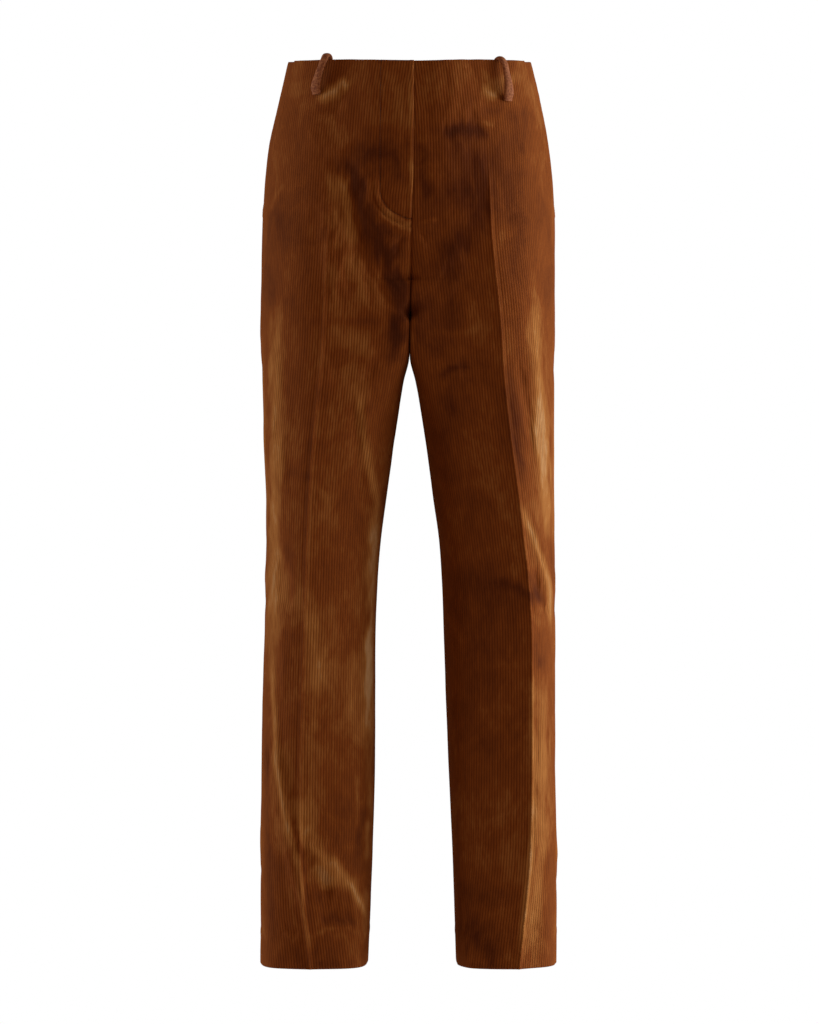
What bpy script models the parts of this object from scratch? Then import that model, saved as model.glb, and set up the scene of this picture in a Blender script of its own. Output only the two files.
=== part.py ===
"""Straight-leg corduroy trousers, filled out as if worn, with no wearer.

Metres, +Z up. The front faces -Y and the wearer's right is at -X. The origin is the middle of the
waist opening, level with its sides, where the wearer holds the trousers up.

Each half of the garment is a stack of level sections. A section is four curves, from the centre seam
(or the inseam, below the crotch) by way of the front crease to the side seam, and back by way of the
rear crease. The panels are walls on these sections, parted at the seams.
"""

from collections import namedtuple

import bmesh
import bpy
import numpy as np

# Cloth
WALL = 0.0020
HEM_WALL = 0.0040
HEM_DEPTH = 0.0420
HEM_STEP = 0.0010
LEVEL_TOLERANCE = 0.0005
SEAM_GAP = 0.0003
LAP_WALL = 0.0012
LAP_OVER = 0.0015
LAP_DROP = 0.194
LAP_FADE = 0.048
MOUTH_END = 0.186

# Whole garment
OUTSEAM = 1.060
CROTCH_DROP = 0.304
WAIST_TILT = 0.09
WAIST_TILT_FADE = 0.150
FLY_DIP = 0.0034
FLY_DIP_REACH = 0.050
FLY_DIP_FADE = 0.060
SIDE_SEAM_Y = 0.004
FLY_SHIFT = 0.0040
CENTRE_FRONT_SHIFT = 0.0015

# The centre seams, front and back, down to the crotch, where they meet. Below it both are the inseam.
# fold_deg is how sharply the cloth on each side of the seam folds in towards the legs, and full is how
# full the curves between the seams and the creases are. Where a seam lies between the two corners, the
# cloth runs flat along the middle as far as the corner before it curves out to the crease.
Seam = namedtuple("Seam", "drop front back fold_deg full front_corner back_corner")
SEAMS = (
    Seam(0.000, -0.0970, 0.0980, 0, 0.56, -0.030, 0.036),
    Seam(0.050, -0.1080, 0.1130, 0, 0.56, -0.030, 0.036),
    Seam(0.110, -0.1140, 0.1270, 0, 0.57, -0.030, 0.036),
    Seam(0.180, -0.1120, 0.1335, 0, 0.58, -0.030, 0.036),
    Seam(0.220, -0.1070, 0.1300, 7, 0.60, -0.030, 0.036),
    Seam(0.250, -0.0970, 0.1180, 18, 0.64, -0.030, 0.036),
    Seam(0.275, -0.0770, 0.0950, 34, 0.76, -0.030, 0.036),
    Seam(0.290, -0.0540, 0.0680, 52, 0.82, -0.030, 0.036),
    Seam(0.299, -0.0270, 0.0370, 74, 0.81, -0.030, 0.036),
    Seam(0.303, -0.0060, 0.0190, 84, 0.80, -0.030, 0.036),
    Seam(CROTCH_DROP, 0.0080, 0.0080, 84, 0.80, -0.030, 0.036),
    Seam(0.345, 0.0080, 0.0080, 84, 0.79, -0.028, 0.034),
    Seam(0.450, 0.0060, 0.0060, 84, 0.70, -0.012, 0.022),
    Seam(0.600, 0.0040, 0.0040, 84, 0.63, 0.000, 0.008),
    Seam(0.850, 0.0020, 0.0020, 84, 0.72, 0.000, 0.004),
    Seam(OUTSEAM, 0.0020, 0.0020, 84, 0.90, 0.000, 0.004),
)
LEAST_REACH = 0.4

# The creases, front and back: how far forward and back they lie, the angle at which a section passes
# them on its way round to the side, and how full the curves from the creases to the side are.
Crease = namedtuple("Crease", "drop front back front_deg back_deg full")
CREASES = (
    Crease(0.000, -0.0815, 0.0830, 23, 24, 0.56),
    Crease(0.060, -0.0925, 0.0955, 21, 25, 0.56),
    Crease(0.120, -0.1000, 0.1075, 17, 23, 0.57),
    Crease(0.180, -0.1045, 0.1160, 11, 18, 0.58),
    Crease(0.240, -0.1065, 0.1195, 5, 9, 0.60),
    Crease(0.300, -0.1055, 0.1185, 0, 2, 0.60),
    Crease(0.360, -0.1010, 0.1135, 0, 0, 0.60),
    Crease(0.450, -0.0945, 0.1035, 0, 0, 0.60),
    Crease(0.580, -0.0865, 0.0915, 0, 0, 0.60),
    Crease(0.700, -0.0815, 0.0850, 0, 0, 0.62),
    Crease(0.850, -0.0795, 0.0820, 0, 0, 0.70),
    Crease(OUTSEAM, -0.0815, 0.0830, 0, 0, 0.86),
)

# One row for each level of one half, as distances from the middle: its outer side, its inner side,
# the pressed crease, and how far the cloth falls away inside and outside the front crease.
Half = namedtuple("Half", "drop outer inner crease in_deg out_deg")
RIGHT_HALF = (
    Half(0.000, 0.1434, 0.0000, 0.0800, 0, 0),
    Half(0.045, 0.1540, 0.0000, 0.0850, 0, 0),
    Half(0.092, 0.1646, 0.0000, 0.0890, 0, 0),
    Half(0.139, 0.1705, 0.0000, 0.0910, 0, 0),
    Half(0.210, 0.1740, 0.0000, 0.0940, 2, 2),
    Half(0.304, 0.1752, 0.0003, 0.0990, 4, 4),
    Half(0.345, 0.1750, 0.0012, 0.1010, 5, 5),
    Half(0.375, 0.1735, 0.0077, 0.1035, 6, 6),
    Half(0.446, 0.1722, 0.0180, 0.1110, 7, 8),
    Half(0.517, 0.1693, 0.0277, 0.1165, 8, 9),
    Half(0.564, 0.1693, 0.0338, 0.1185, 9, 10),
    Half(0.610, 0.1699, 0.0376, 0.1200, 9, 11),
    Half(0.694, 0.1717, 0.0404, 0.1230, 10, 12),
    Half(0.812, 0.1740, 0.0406, 0.1262, 10, 12),
    Half(0.930, 0.1752, 0.0436, 0.1270, 9, 11),
    Half(OUTSEAM, 0.1752, 0.0488, 0.1150, 6, 8),
)
LEFT_HALF = (
    Half(0.000, 0.1434, 0.0000, 0.0800, 0, 0),
    Half(0.045, 0.1540, 0.0000, 0.0850, 0, 0),
    Half(0.092, 0.1634, 0.0000, 0.0890, 0, 0),
    Half(0.139, 0.1692, 0.0000, 0.0910, 2, 2),
    Half(0.210, 0.1717, 0.0000, 0.0940, 5, 6),
    Half(0.304, 0.1717, 0.0003, 0.1040, 6, 10),
    Half(0.345, 0.1707, 0.0012, 0.1070, 6, 12),
    Half(0.375, 0.1705, 0.0077, 0.1090, 6, 14),
    Half(0.446, 0.1705, 0.0188, 0.1170, 6, 18),
    Half(0.517, 0.1705, 0.0285, 0.1266, 5, 22),
    Half(0.564, 0.1709, 0.0350, 0.1320, 5, 26),
    Half(0.610, 0.1715, 0.0382, 0.1375, 4, 28),
    Half(0.694, 0.1717, 0.0412, 0.1415, 4, 30),
    Half(0.812, 0.1717, 0.0454, 0.1418, 4, 32),
    Half(0.930, 0.1735, 0.0507, 0.1394, 4, 32),
    Half(OUTSEAM, 0.1732, 0.0549, 0.1270, 3, 24),
)

# The curved pocket mouth: how far forward of the side seam it cuts the front, at each level.
Mouth = namedtuple("Mouth", "drop forward")
POCKET_MOUTH = (
    Mouth(0.000, 0.0400),
    Mouth(0.060, 0.0420),
    Mouth(0.110, 0.0430),
    Mouth(0.142, 0.0380),
    Mouth(0.164, 0.0250),
    Mouth(0.175, 0.0110),
    Mouth(MOUTH_END, 0.0000),
)
POCKET_UNDERLAP = 0.012
POCKET_FADE = 0.016
POCKET_SINK = WALL + 2 * SEAM_GAP

# The fly lap: how far back from the centre front its stitched edge lies, at each level.
Lap = namedtuple("Lap", "drop width")
FLY_LAP = (
    Lap(0.000, 0.0370),
    Lap(0.150, 0.0366),
    Lap(0.170, 0.0350),
    Lap(0.180, 0.0290),
    Lap(0.187, 0.0210),
    Lap(LAP_DROP, 0.0070),
)

# Belt loops: a path over the waist edge as the stand-off from the cloth and the level, from the
# stitched lower end to the end tucked inside. Each loop stretches it to its own length and sinks it.
LoopPoint = namedtuple("LoopPoint", "stand_off drop")
LOOP_PATH = (
    LoopPoint(0.0025, 0.0430),
    LoopPoint(0.0034, 0.0400),
    LoopPoint(0.0072, 0.0360),
    LoopPoint(0.0094, 0.0290),
    LoopPoint(0.0098, 0.0190),
    LoopPoint(0.0092, 0.0080),
    LoopPoint(0.0074, -0.0010),
    LoopPoint(0.0040, -0.0056),
    LoopPoint(-0.0002, -0.0062),
    LoopPoint(-0.0042, -0.0036),
    LoopPoint(-0.0049, 0.0030),
    LoopPoint(-0.0047, 0.0100),
)
LOOP_WIDTH = 0.0080
LOOP_THICKNESS = 0.0036
LOOP_SIDES = 10
Loop = namedtuple("Loop", "node half face top_x lean sink length")
BELT_LOOPS = (
    Loop("belt_loop_front_right", "right", "front", 0.0950, 0.0110, 0.0000, 0.0430),
    Loop("belt_loop_front_left", "left", "front", 0.1040, 0.0090, 0.0028, 0.0480),
    Loop("belt_loop_back_right", "right", "back", 0.0800, 0.0020, 0.0000, 0.0440),
    Loop("belt_loop_back_left", "left", "back", 0.0800, 0.0020, 0.0000, 0.0440),
    Loop("belt_loop_centre_back", "right", "back", 0.0000, 0.0000, 0.0000, 0.0450),
)

# The largest folds of the fronts, each a soft ridge or, below zero, a trough along a short path of
# (x, drop) points seen from the front.
Fold = namedtuple("Fold", "height width path")
FOLDS = (
    Fold(-0.0050, 0.0130, ((-0.070, 0.130), (-0.064, 0.200), (-0.040, 0.250), (-0.016, 0.305))),
    Fold(0.0030, 0.0120, ((-0.100, 0.150), (-0.094, 0.220), (-0.080, 0.290))),
    Fold(-0.0030, 0.0090, ((0.028, 0.078), (0.060, 0.080), (0.088, 0.074))),
    Fold(0.0030, 0.0120, ((-0.158, 0.330), (-0.156, 0.430), (-0.150, 0.540))),
    Fold(-0.0030, 0.0090, ((-0.164, 0.555), (-0.148, 0.600), (-0.140, 0.650))),
    Fold(0.0030, 0.0100, ((-0.052, 0.395), (-0.046, 0.455), (-0.038, 0.525))),
    Fold(0.0040, 0.0090, ((-0.164, 0.780), (-0.150, 0.850), (-0.134, 0.940), (-0.122, 1.000))),
    Fold(0.0036, 0.0120, ((-0.122, 0.925), (-0.090, 0.945), (-0.072, 0.965), (-0.054, 1.015))),
    Fold(-0.0036, 0.0110, ((-0.100, 1.000), (-0.078, 0.996), (-0.064, 1.000))),
    Fold(0.0030, 0.0080, ((0.143, 0.540), (0.157, 0.592), (0.164, 0.650))),
    Fold(-0.0028, 0.0100, ((0.137, 0.600), (0.150, 0.625), (0.158, 0.650))),
    Fold(-0.0026, 0.0120, ((0.055, 0.372), (0.080, 0.366), (0.108, 0.370))),
)

# Mesh fineness
CURVE_STEPS = 40
FRONT_COLUMNS = (8, 7)
BACK_COLUMNS = (8, 8)
ROW_ENDS = (
    0.0,
    0.120,
    MOUTH_END,
    LAP_DROP,
    0.206,
    CROTCH_DROP,
    0.400,
    OUTSEAM - HEM_DEPTH - HEM_STEP,
)
ROW_COUNTS = (8, 6, 1, 1, 9, 5, 13)
POCKET_COLUMNS = (2, 4)
LAP_COLUMNS = 4

Finish = namedtuple("Finish", "name color roughness")
CORDUROY = Finish("cotton_corduroy_brown", (0.105, 0.027, 0.0065, 1.0), 0.85)
ROULEAU = Finish("cotton_rouleau_brown", (0.120, 0.040, 0.0150, 1.0), 0.85)


def read(table, column, drop):
    """One column of a table at the given drops, along smooth curves that never overshoot its rows."""
    at = np.array([row.drop for row in table])
    value = np.array([getattr(row, column) for row in table], float)
    rise = np.diff(value) / np.diff(at)
    slope = np.concatenate(([rise[0]], (rise[:-1] + rise[1:]) / 2, [rise[-1]]))
    turns = np.concatenate(([False], rise[:-1] * rise[1:] <= 0, [False]))
    slope[turns] = 0.0
    least = np.minimum(np.abs(np.append(rise, rise[-1])), np.abs(np.insert(rise, 0, rise[0])))
    slope = np.sign(slope) * np.minimum(np.abs(slope), 3 * least)
    drop = np.clip(drop, at[0], at[-1])
    i = np.clip(np.searchsorted(at, drop, side="right") - 1, 0, len(at) - 2)
    step = at[i + 1] - at[i]
    t = (drop - at[i]) / step
    return (
        (1 + 2 * t) * (1 - t) ** 2 * value[i]
        + t * (1 - t) ** 2 * step * slope[i]
        + t**2 * (3 - 2 * t) * value[i + 1]
        + t**2 * (t - 1) * step * slope[i + 1]
    )


def bezier(start, start_handle, end_handle, end):
    """Points of one curve from start to end, as rows of (out, y)."""
    t = np.linspace(0, 1, 2 * CURVE_STEPS + 1)[:, None]
    return (
        (1 - t) ** 3 * start
        + 3 * (1 - t) ** 2 * t * start_handle
        + 3 * (1 - t) * t**2 * end_handle
        + t**3 * end
    )


def evenly(line):
    """The same line with CURVE_STEPS equal steps."""
    run = np.concatenate(([0.0], np.cumsum(np.linalg.norm(np.diff(line, axis=0), axis=1))))
    at = np.linspace(0, run[-1], CURVE_STEPS + 1)
    return np.stack([np.interp(at, run, line[:, k]) for k in range(2)], axis=-1)


def quarter_pair(seam, corner, crease, side, facing, fullness, angles):
    """The two curves from a centre seam over a crease to the side, facing -1 (front) or +1 (back).

    fullness is that of each curve. The angles are those by which the first leaves the seam towards
    its own face and reaches the crease, and the second leaves it, all from straight across.
    """
    leaving, arriving, parting = angles
    full, full_side = fullness
    start = seam
    if facing * corner > facing * seam[1]:
        start = np.array([seam[0], corner])
        leaving = np.pi / 2
    gap = np.abs(crease - start)
    leave = np.array([np.cos(leaving), facing * np.sin(leaving)])
    to_meeting = gap[1] / max(np.sin(leaving), 1e-6)
    reach = max(min(gap[0] * leave[0] + gap[1] * abs(leave[1]), to_meeting), LEAST_REACH * gap[0])
    climb = np.array([np.cos(arriving), -facing * np.sin(arriving)])
    back = gap[0] - reach * leave[0] * leave[1] ** 2
    inner = bezier(start, start + full * reach * leave, crease - full * back * climb, crease)
    if start is not seam:
        inner = np.concatenate((seam[None], inner))
    span = np.abs(side - crease)
    fall = np.array([np.cos(parting), -facing * np.sin(parting)])
    level_side = side + np.array([0.0, facing * full_side * span[1]])
    outer = bezier(crease, crease + full_side * span[0] * fall, level_side, side)
    return np.concatenate((evenly(inner)[:-1], evenly(outer)))


def seam_turns(drops, column):
    """The angle at which sections leave a centre seam that folds in by fold_deg."""
    lean = np.gradient(read(SEAMS, column, drops), drops)
    upright = 1 / np.sqrt(1 + lean**2)
    turn = np.arctan2(np.tan(np.radians(read(SEAMS, "fold_deg", drops))), upright)
    return np.where(drops < CROTCH_DROP - LEVEL_TOLERANCE, turn, np.pi / 2)


def fold_height(x, drop):
    """How far the folds push the cloth out at points seen from the front."""
    total = np.zeros_like(x)
    for fold in FOLDS:
        path = np.array(fold.path)
        lengths = np.linalg.norm(np.diff(path, axis=0), axis=1)
        gone = np.concatenate(([0.0], np.cumsum(lengths))) / lengths.sum()
        nearest = np.full_like(x, np.inf)
        along = np.zeros_like(x)
        for i in range(len(path) - 1):
            run = path[i + 1] - path[i]
            t = ((x - path[i, 0]) * run[0] + (drop - path[i, 1]) * run[1]) / (run @ run)
            t = np.clip(t, 0, 1)
            away = np.hypot(x - path[i, 0] - t * run[0], drop - path[i, 1] - t * run[1])
            closer = away < nearest
            along = np.where(closer, gone[i] + t * (gone[i + 1] - gone[i]), along)
            nearest = np.where(closer, away, nearest)
        ends = np.clip(np.minimum(along, 1 - along) * 4 + 0.15, 0, 1)
        total += fold.height * ends * np.exp(-((nearest / fold.width) ** 2))
    return total


class HalfSurface:
    """The outer face of one half: level sections, each from the front seam round to the back seam."""

    def __init__(self, table, sign, drops):
        self.drops = drops
        fullness = np.stack((read(SEAMS, "full", drops), read(CREASES, "full", drops)), axis=-1)
        fall = {face: np.radians(read(CREASES, f"{face}_deg", drops)) for face in ("front", "back")}
        turn = {face: seam_turns(drops, face) for face in ("front", "back")}
        before = np.radians(read(table, "in_deg", drops))
        after = np.radians(read(table, "out_deg", drops))
        rings = []
        for i, drop in enumerate(drops):
            side = np.array([read(table, "outer", drop), SIDE_SEAM_Y])
            halves = []
            for face, facing in (("front", -1), ("back", 1)):
                seam = np.array([read(table, "inner", drop), read(SEAMS, face, drop)])
                corner = float(read(SEAMS, f"{face}_corner", drop))
                crease = np.array([read(table, "crease", drop), read(CREASES, face, drop)])
                last = after[i] if face == "front" else before[i]
                angles = (turn[face][i], fall[face][i] - before[i], fall[face][i] + last)
                shape = (facing, fullness[i], angles)
                halves.append(quarter_pair(seam, corner, crease, side, *shape))
            rings.append(np.concatenate((halves[0], halves[1][-2::-1])))
        rings = np.array(rings)
        self.points = self.place(rings, sign)
        push = self.normals(self.points, sign)
        faces_front = np.clip(-3 * push[..., 1], 0, 1)
        height = fold_height(self.points[..., 0], np.broadcast_to(drops[:, None], rings.shape[:2]))
        self.points += push * (height * faces_front)[..., None]
        self.out = self.normals(self.points, sign)
        steps = np.linalg.norm(np.diff(self.points, axis=1), axis=2)
        self.run = np.concatenate((np.zeros((len(drops), 1)), np.cumsum(steps, axis=1)), axis=1)
        self.crease_front = self.run[:, CURVE_STEPS]
        self.side = self.run[:, 2 * CURVE_STEPS]
        self.crease_back = self.run[:, 3 * CURVE_STEPS]
        self.end = self.run[:, -1]

    def place(self, rings, sign):
        """The sections in space, with the waist tilted down at the front and the fly off centre."""
        out, y = rings[..., 0], rings[..., 1]
        drop = self.drops[:, None]
        is_front = np.clip(-y / 0.09, 0, 1)
        near_middle = np.clip(1 - out / 0.12, 0, 1)
        shift = CENTRE_FRONT_SHIFT + (FLY_SHIFT - CENTRE_FRONT_SHIFT) * np.clip(
            1 - drop / CROTCH_DROP, 0, 1
        )
        above_legs = np.clip((CROTCH_DROP + 0.06 - drop) / 0.10, 0, 1)
        x = sign * out + shift * is_front * near_middle * above_legs
        tilt = WAIST_TILT * y * np.clip(1 - drop / WAIST_TILT_FADE, 0, 1)
        dip = FLY_DIP * np.exp(-((out / FLY_DIP_REACH) ** 2)) * np.clip(1 - drop / FLY_DIP_FADE, 0, 1)
        return np.stack((x, y, tilt - dip * is_front - drop), axis=-1)

    @staticmethod
    def normals(points, sign):
        """Unit normals out of the cloth, from the slopes along and across the sections."""
        along = np.gradient(points, axis=1)
        down = np.gradient(points, axis=0)
        normal = np.cross(down, along) * sign
        return normal / np.linalg.norm(normal, axis=2, keepdims=True)

    def at(self, row, distances):
        """Points and unit normals of one section at distances along it from the front seam."""
        run = self.run[row]
        points = np.stack([np.interp(distances, run, self.points[row, :, k]) for k in range(3)], -1)
        out = np.stack([np.interp(distances, run, self.out[row, :, k]) for k in range(3)], -1)
        return points, out / np.linalg.norm(out, axis=1, keepdims=True)


class Panel:
    """A front or back panel as a grid of points and normals, a row for each section."""

    def __init__(self, surface, is_front):
        self.drops = surface.drops
        self.distances, self.points, self.out = [], [], []
        for row, drop in enumerate(surface.drops):
            if is_front:
                mouth = read(POCKET_MOUTH, "forward", drop)
                end = surface.side[row] - SEAM_GAP / 2 - mouth
                distances = spread(SEAM_GAP / 2, surface.crease_front[row], end, FRONT_COLUMNS)
            else:
                start = surface.side[row] + SEAM_GAP / 2
                end = surface.end[row] - SEAM_GAP / 2
                distances = spread(start, surface.crease_back[row], end, BACK_COLUMNS)
            points, out = surface.at(row, distances)
            self.distances.append(distances)
            self.points.append(points)
            self.out.append(out)

    def lying_on(self, row, distances):
        """Points and normals on the panel's own flat facets, running straight on past its edges."""
        known, grid, normals = self.distances[row], self.points[row], self.out[row]
        points = np.stack([np.interp(distances, known, grid[:, k]) for k in range(3)], -1)
        out = np.stack([np.interp(distances, known, normals[:, k]) for k in range(3)], -1)
        for past, edge, inside in ((distances - known[0], 0, 1), (distances - known[-1], -1, -2)):
            outside = np.minimum(past, 0) if edge == 0 else np.maximum(past, 0)
            ahead = (grid[edge] - grid[inside]) / np.linalg.norm(grid[edge] - grid[inside])
            points += np.abs(outside)[:, None] * ahead
        return points, out / np.linalg.norm(out, axis=1, keepdims=True)

    def beside(self, out_x, drop):
        """The point and level normal on the panel at a distance from the middle and a level.

        Above the top edge it is the top edge's own point, carried straight up.
        """
        held = max(drop, 0.0)
        row = min(int(np.searchsorted(self.drops, held, side="right")) - 1, len(self.drops) - 2)
        t = (held - self.drops[row]) / (self.drops[row + 1] - self.drops[row])
        found = []
        for grids in (self.points, self.out):
            for i in (row, row + 1):
                reach = np.abs(self.points[i][:, 0])
                order = np.argsort(reach)
                found.append([np.interp(out_x, reach[order], grids[i][order, k]) for k in range(3)])
        above, below, out_above, out_below = np.array(found)
        point = (1 - t) * above + t * below + np.array([0.0, 0.0, held - drop])
        out = (1 - t) * out_above + t * out_below
        out[2] = 0.0
        return point, out / np.linalg.norm(out)

    def solid(self, name, sign):
        """The panel's wall, with its hem turned up inside."""
        inner = []
        for drop, points, out in zip(self.drops, self.points, self.out):
            in_hem = drop > OUTSEAM - HEM_DEPTH - LEVEL_TOLERANCE
            inner.append(points - (HEM_WALL if in_hem else WALL) * out)
        return wall(name, np.array(self.points), np.array(inner), CORDUROY, flip=sign < 0)


def wall(name, outer, inner, finish, flip):
    """A closed wall between two grids of points of the same size."""
    rows, columns = outer.shape[:2]
    mesh = bmesh.new()
    skins = []
    for grid in (outer, inner):
        skins.append([[mesh.verts.new(point) for point in line] for line in grid])
    top, bottom = skins
    for i in range(rows - 1):
        for j in range(columns - 1):
            mesh.faces.new((top[i][j], top[i + 1][j], top[i + 1][j + 1], top[i][j + 1]))
            mesh.faces.new((bottom[i][j], bottom[i][j + 1], bottom[i + 1][j + 1], bottom[i + 1][j]))
    for i in range(rows - 1):
        mesh.faces.new((top[i][0], bottom[i][0], bottom[i + 1][0], top[i + 1][0]))
        mesh.faces.new((top[i + 1][-1], bottom[i + 1][-1], bottom[i][-1], top[i][-1]))
    for j in range(columns - 1):
        mesh.faces.new((top[0][j + 1], bottom[0][j + 1], bottom[0][j], top[0][j]))
        mesh.faces.new((top[-1][j], bottom[-1][j], bottom[-1][j + 1], top[-1][j + 1]))
    if flip:
        bmesh.ops.reverse_faces(mesh, faces=mesh.faces)
    return finished(name, mesh, finish)


def finished(name, mesh, finish):
    """The mesh as an object with its own material, shaded smooth but for its edges."""
    data = bpy.data.meshes.new(name)
    mesh.to_mesh(data)
    mesh.free()
    data.shade_smooth()
    data.set_sharp_from_angle(angle=np.radians(40))
    data.materials.append(material_for(name, finish))
    piece = bpy.data.objects.new(name, data)
    bpy.context.scene.collection.objects.link(piece)
    return piece


def material_for(name, finish):
    """A plain cloth material for one piece."""
    material = bpy.data.materials.new(f"{name}_{finish.name}")
    material.use_nodes = True
    shader = material.node_tree.nodes["Principled BSDF"]
    shader.inputs["Base Color"].default_value = finish.color
    shader.inputs["Roughness"].default_value = finish.roughness
    shader.inputs["Metallic"].default_value = 0.0
    return material


def row_drops():
    """The levels of the sections, closer together where the crotch curves and stepped at the hem."""
    drops = [ROW_ENDS[0]]
    for start, end, count in zip(ROW_ENDS[:-1], ROW_ENDS[1:], ROW_COUNTS):
        t = np.arange(1, count + 1) / count
        if end == CROTCH_DROP:
            t = np.sin(t * np.pi / 2)
        drops.extend(start + (end - start) * t)
    drops.extend((OUTSEAM - HEM_DEPTH, OUTSEAM))
    return np.array(drops)


def spread(start, middle, end, counts):
    """Distances across a panel, with one column on the crease."""
    before = np.linspace(start, middle, counts[0] + 1)
    after = np.linspace(middle, end, counts[1] + 1)
    return np.concatenate((before, after[1:]))


def pocket(name, surface, front, sign):
    """The hip piece that shows behind a pocket mouth. It sinks under the front's edge."""
    outer, inner = [], []
    for row in np.flatnonzero(surface.drops < MOUTH_END + LEVEL_TOLERANCE):
        mouth = read(POCKET_MOUTH, "forward", surface.drops[row])
        side = surface.side[row] - SEAM_GAP / 2
        edge = side - mouth
        distances = spread(edge - POCKET_UNDERLAP, edge, side, POCKET_COLUMNS)
        under, under_out = front.lying_on(row, distances)
        beside, beside_out = surface.at(row, distances)
        covered = (distances <= edge)[:, None]
        points = np.where(covered, under, beside)
        out = np.where(covered, under_out, beside_out)
        sunk = np.clip((side - distances) / max(mouth, WALL), 0, 1)
        sunk = np.maximum(sunk, 1 - mouth / POCKET_FADE)
        points = points - POCKET_SINK * sunk[:, None] * out
        outer.append(points)
        inner.append(points - WALL * out)
    return wall(name, np.array(outer), np.array(inner), CORDUROY, flip=sign < 0)


def fly_lap(surface, front, sign):
    """The lap of the fly, on the wearer's right front and just past the centre."""
    outer, inner = [], []
    for row in np.flatnonzero(surface.drops < LAP_DROP + LEVEL_TOLERANCE):
        width = read(FLY_LAP, "width", surface.drops[row])
        over = LAP_OVER * np.clip((LAP_DROP - surface.drops[row]) / LAP_FADE, 0, 1)
        points, out = front.lying_on(row, np.linspace(-over, width, LAP_COLUMNS + 1))
        outer.append(points + (SEAM_GAP + LAP_WALL) * out)
        inner.append(points + SEAM_GAP * out)
    return wall("fly_lap", np.array(outer), np.array(inner), CORDUROY, flip=sign < 0)


def belt_loop(loop, panel):
    """A soft tube that stands off the waist, over its edge and down inside."""
    stretch = loop.length / LOOP_PATH[0].drop
    t = np.arange(len(LOOP_PATH)) / (len(LOOP_PATH) - 1)
    centres, across = [], []
    for point in LOOP_PATH:
        drop = max(point.drop, 0.0) * stretch + min(point.drop, 0.0) + loop.sink
        lean = loop.lean * np.clip(drop / (loop.length + loop.sink), 0, 1)
        base, out = panel.beside(loop.top_x + lean, drop)
        centres.append(base + point.stand_off * out)
        across.append(np.cross(out, (0.0, 0.0, 1.0)))
    centres, across = np.array(centres), np.array(across)
    along = np.gradient(centres, t, axis=0)
    along /= np.linalg.norm(along, axis=1, keepdims=True)
    thick = np.cross(along, across)
    thick /= np.linalg.norm(thick, axis=1, keepdims=True)
    angles = np.arange(LOOP_SIDES) / LOOP_SIDES * 2 * np.pi
    mesh = bmesh.new()
    rings = []
    for centre, wide, deep in zip(centres, across, thick):
        ring = [
            centre
            + wide * LOOP_WIDTH / 2 * np.sign(np.cos(a)) * abs(np.cos(a)) ** 0.8
            + deep * LOOP_THICKNESS / 2 * np.sin(a)
            for a in angles
        ]
        rings.append([mesh.verts.new(point) for point in ring])
    for ring, after in zip(rings[:-1], rings[1:]):
        for j in range(LOOP_SIDES):
            k = (j + 1) % LOOP_SIDES
            mesh.faces.new((ring[j], ring[k], after[k], after[j]))
    mesh.faces.new(rings[0][::-1])
    mesh.faces.new(rings[-1])
    bmesh.ops.recalc_face_normals(mesh, faces=mesh.faces)
    return finished(loop.node, mesh, ROULEAU)


def main():
    for thing in list(bpy.data.objects):
        bpy.data.objects.remove(thing, do_unlink=True)
    drops = row_drops()
    panels = {}
    for half, table, sign in (("right", RIGHT_HALF, -1), ("left", LEFT_HALF, 1)):
        surface = HalfSurface(table, sign, drops)
        front = Panel(surface, is_front=True)
        front.solid(f"front_{half}", sign)
        back = Panel(surface, is_front=False)
        back.solid(f"back_{half}", sign)
        pocket(f"pocket_{half}", surface, front, sign)
        if half == "right":
            fly_lap(surface, front, sign)
        panels[half, "front"] = front
        panels[half, "back"] = back
    for loop in BELT_LOOPS:
        belt_loop(loop, panels[loop.half, loop.face])


main()
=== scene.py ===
"""Straight-leg corduroy trousers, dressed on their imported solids.

The outer face of each half is a stack of level sections, the same as in the solids but read at many
more levels. Each cut piece is a thin closed shell on it, with its wales raised, its folds pushed in or
out and its edges rolled. Belt loops and stitches lie on the shells.
"""

import logging
import math
from dataclasses import dataclass, field
from enum import Enum
from typing import Any, NamedTuple, Optional, Sequence

import bpy
import numpy as np
from bpy.types import Material, Node, Object
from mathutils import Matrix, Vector


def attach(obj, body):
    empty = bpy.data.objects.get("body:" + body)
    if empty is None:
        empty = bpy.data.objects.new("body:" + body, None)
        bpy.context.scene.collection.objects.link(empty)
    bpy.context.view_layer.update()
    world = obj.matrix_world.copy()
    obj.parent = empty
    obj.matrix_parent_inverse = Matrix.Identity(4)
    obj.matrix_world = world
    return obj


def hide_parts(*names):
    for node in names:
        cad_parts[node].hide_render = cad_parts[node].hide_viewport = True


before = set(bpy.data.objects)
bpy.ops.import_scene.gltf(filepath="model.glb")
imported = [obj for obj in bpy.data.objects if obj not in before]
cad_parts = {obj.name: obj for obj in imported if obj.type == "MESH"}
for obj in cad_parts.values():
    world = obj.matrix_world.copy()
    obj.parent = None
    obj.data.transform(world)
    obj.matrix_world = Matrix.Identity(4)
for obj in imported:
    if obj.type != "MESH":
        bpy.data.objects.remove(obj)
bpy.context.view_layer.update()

log = logging.getLogger("trousers")

Array = np.ndarray
Path = tuple[tuple[float, float], ...]

# Sizes of the cloth, in metres
WALL = 0.0020
HEM_WALL = 0.0040
HEM_DEPTH = 0.0420
SEAM_GAP = 0.0003
SEAM_CROSS = 0.0005
WALE_PITCH = 0.0032
WALE_RELIEF = 0.00036
WALE_MIDDLE = 0.62
COLUMNS_PER_WALE = 4
EDGE_ROLL = 0.0009
ROLL_TURNS = ((1.0, 1.0), (0.3, 0.7))
EDGE_FADE = 0.0022
EDGE_WALES = 0.25

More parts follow.
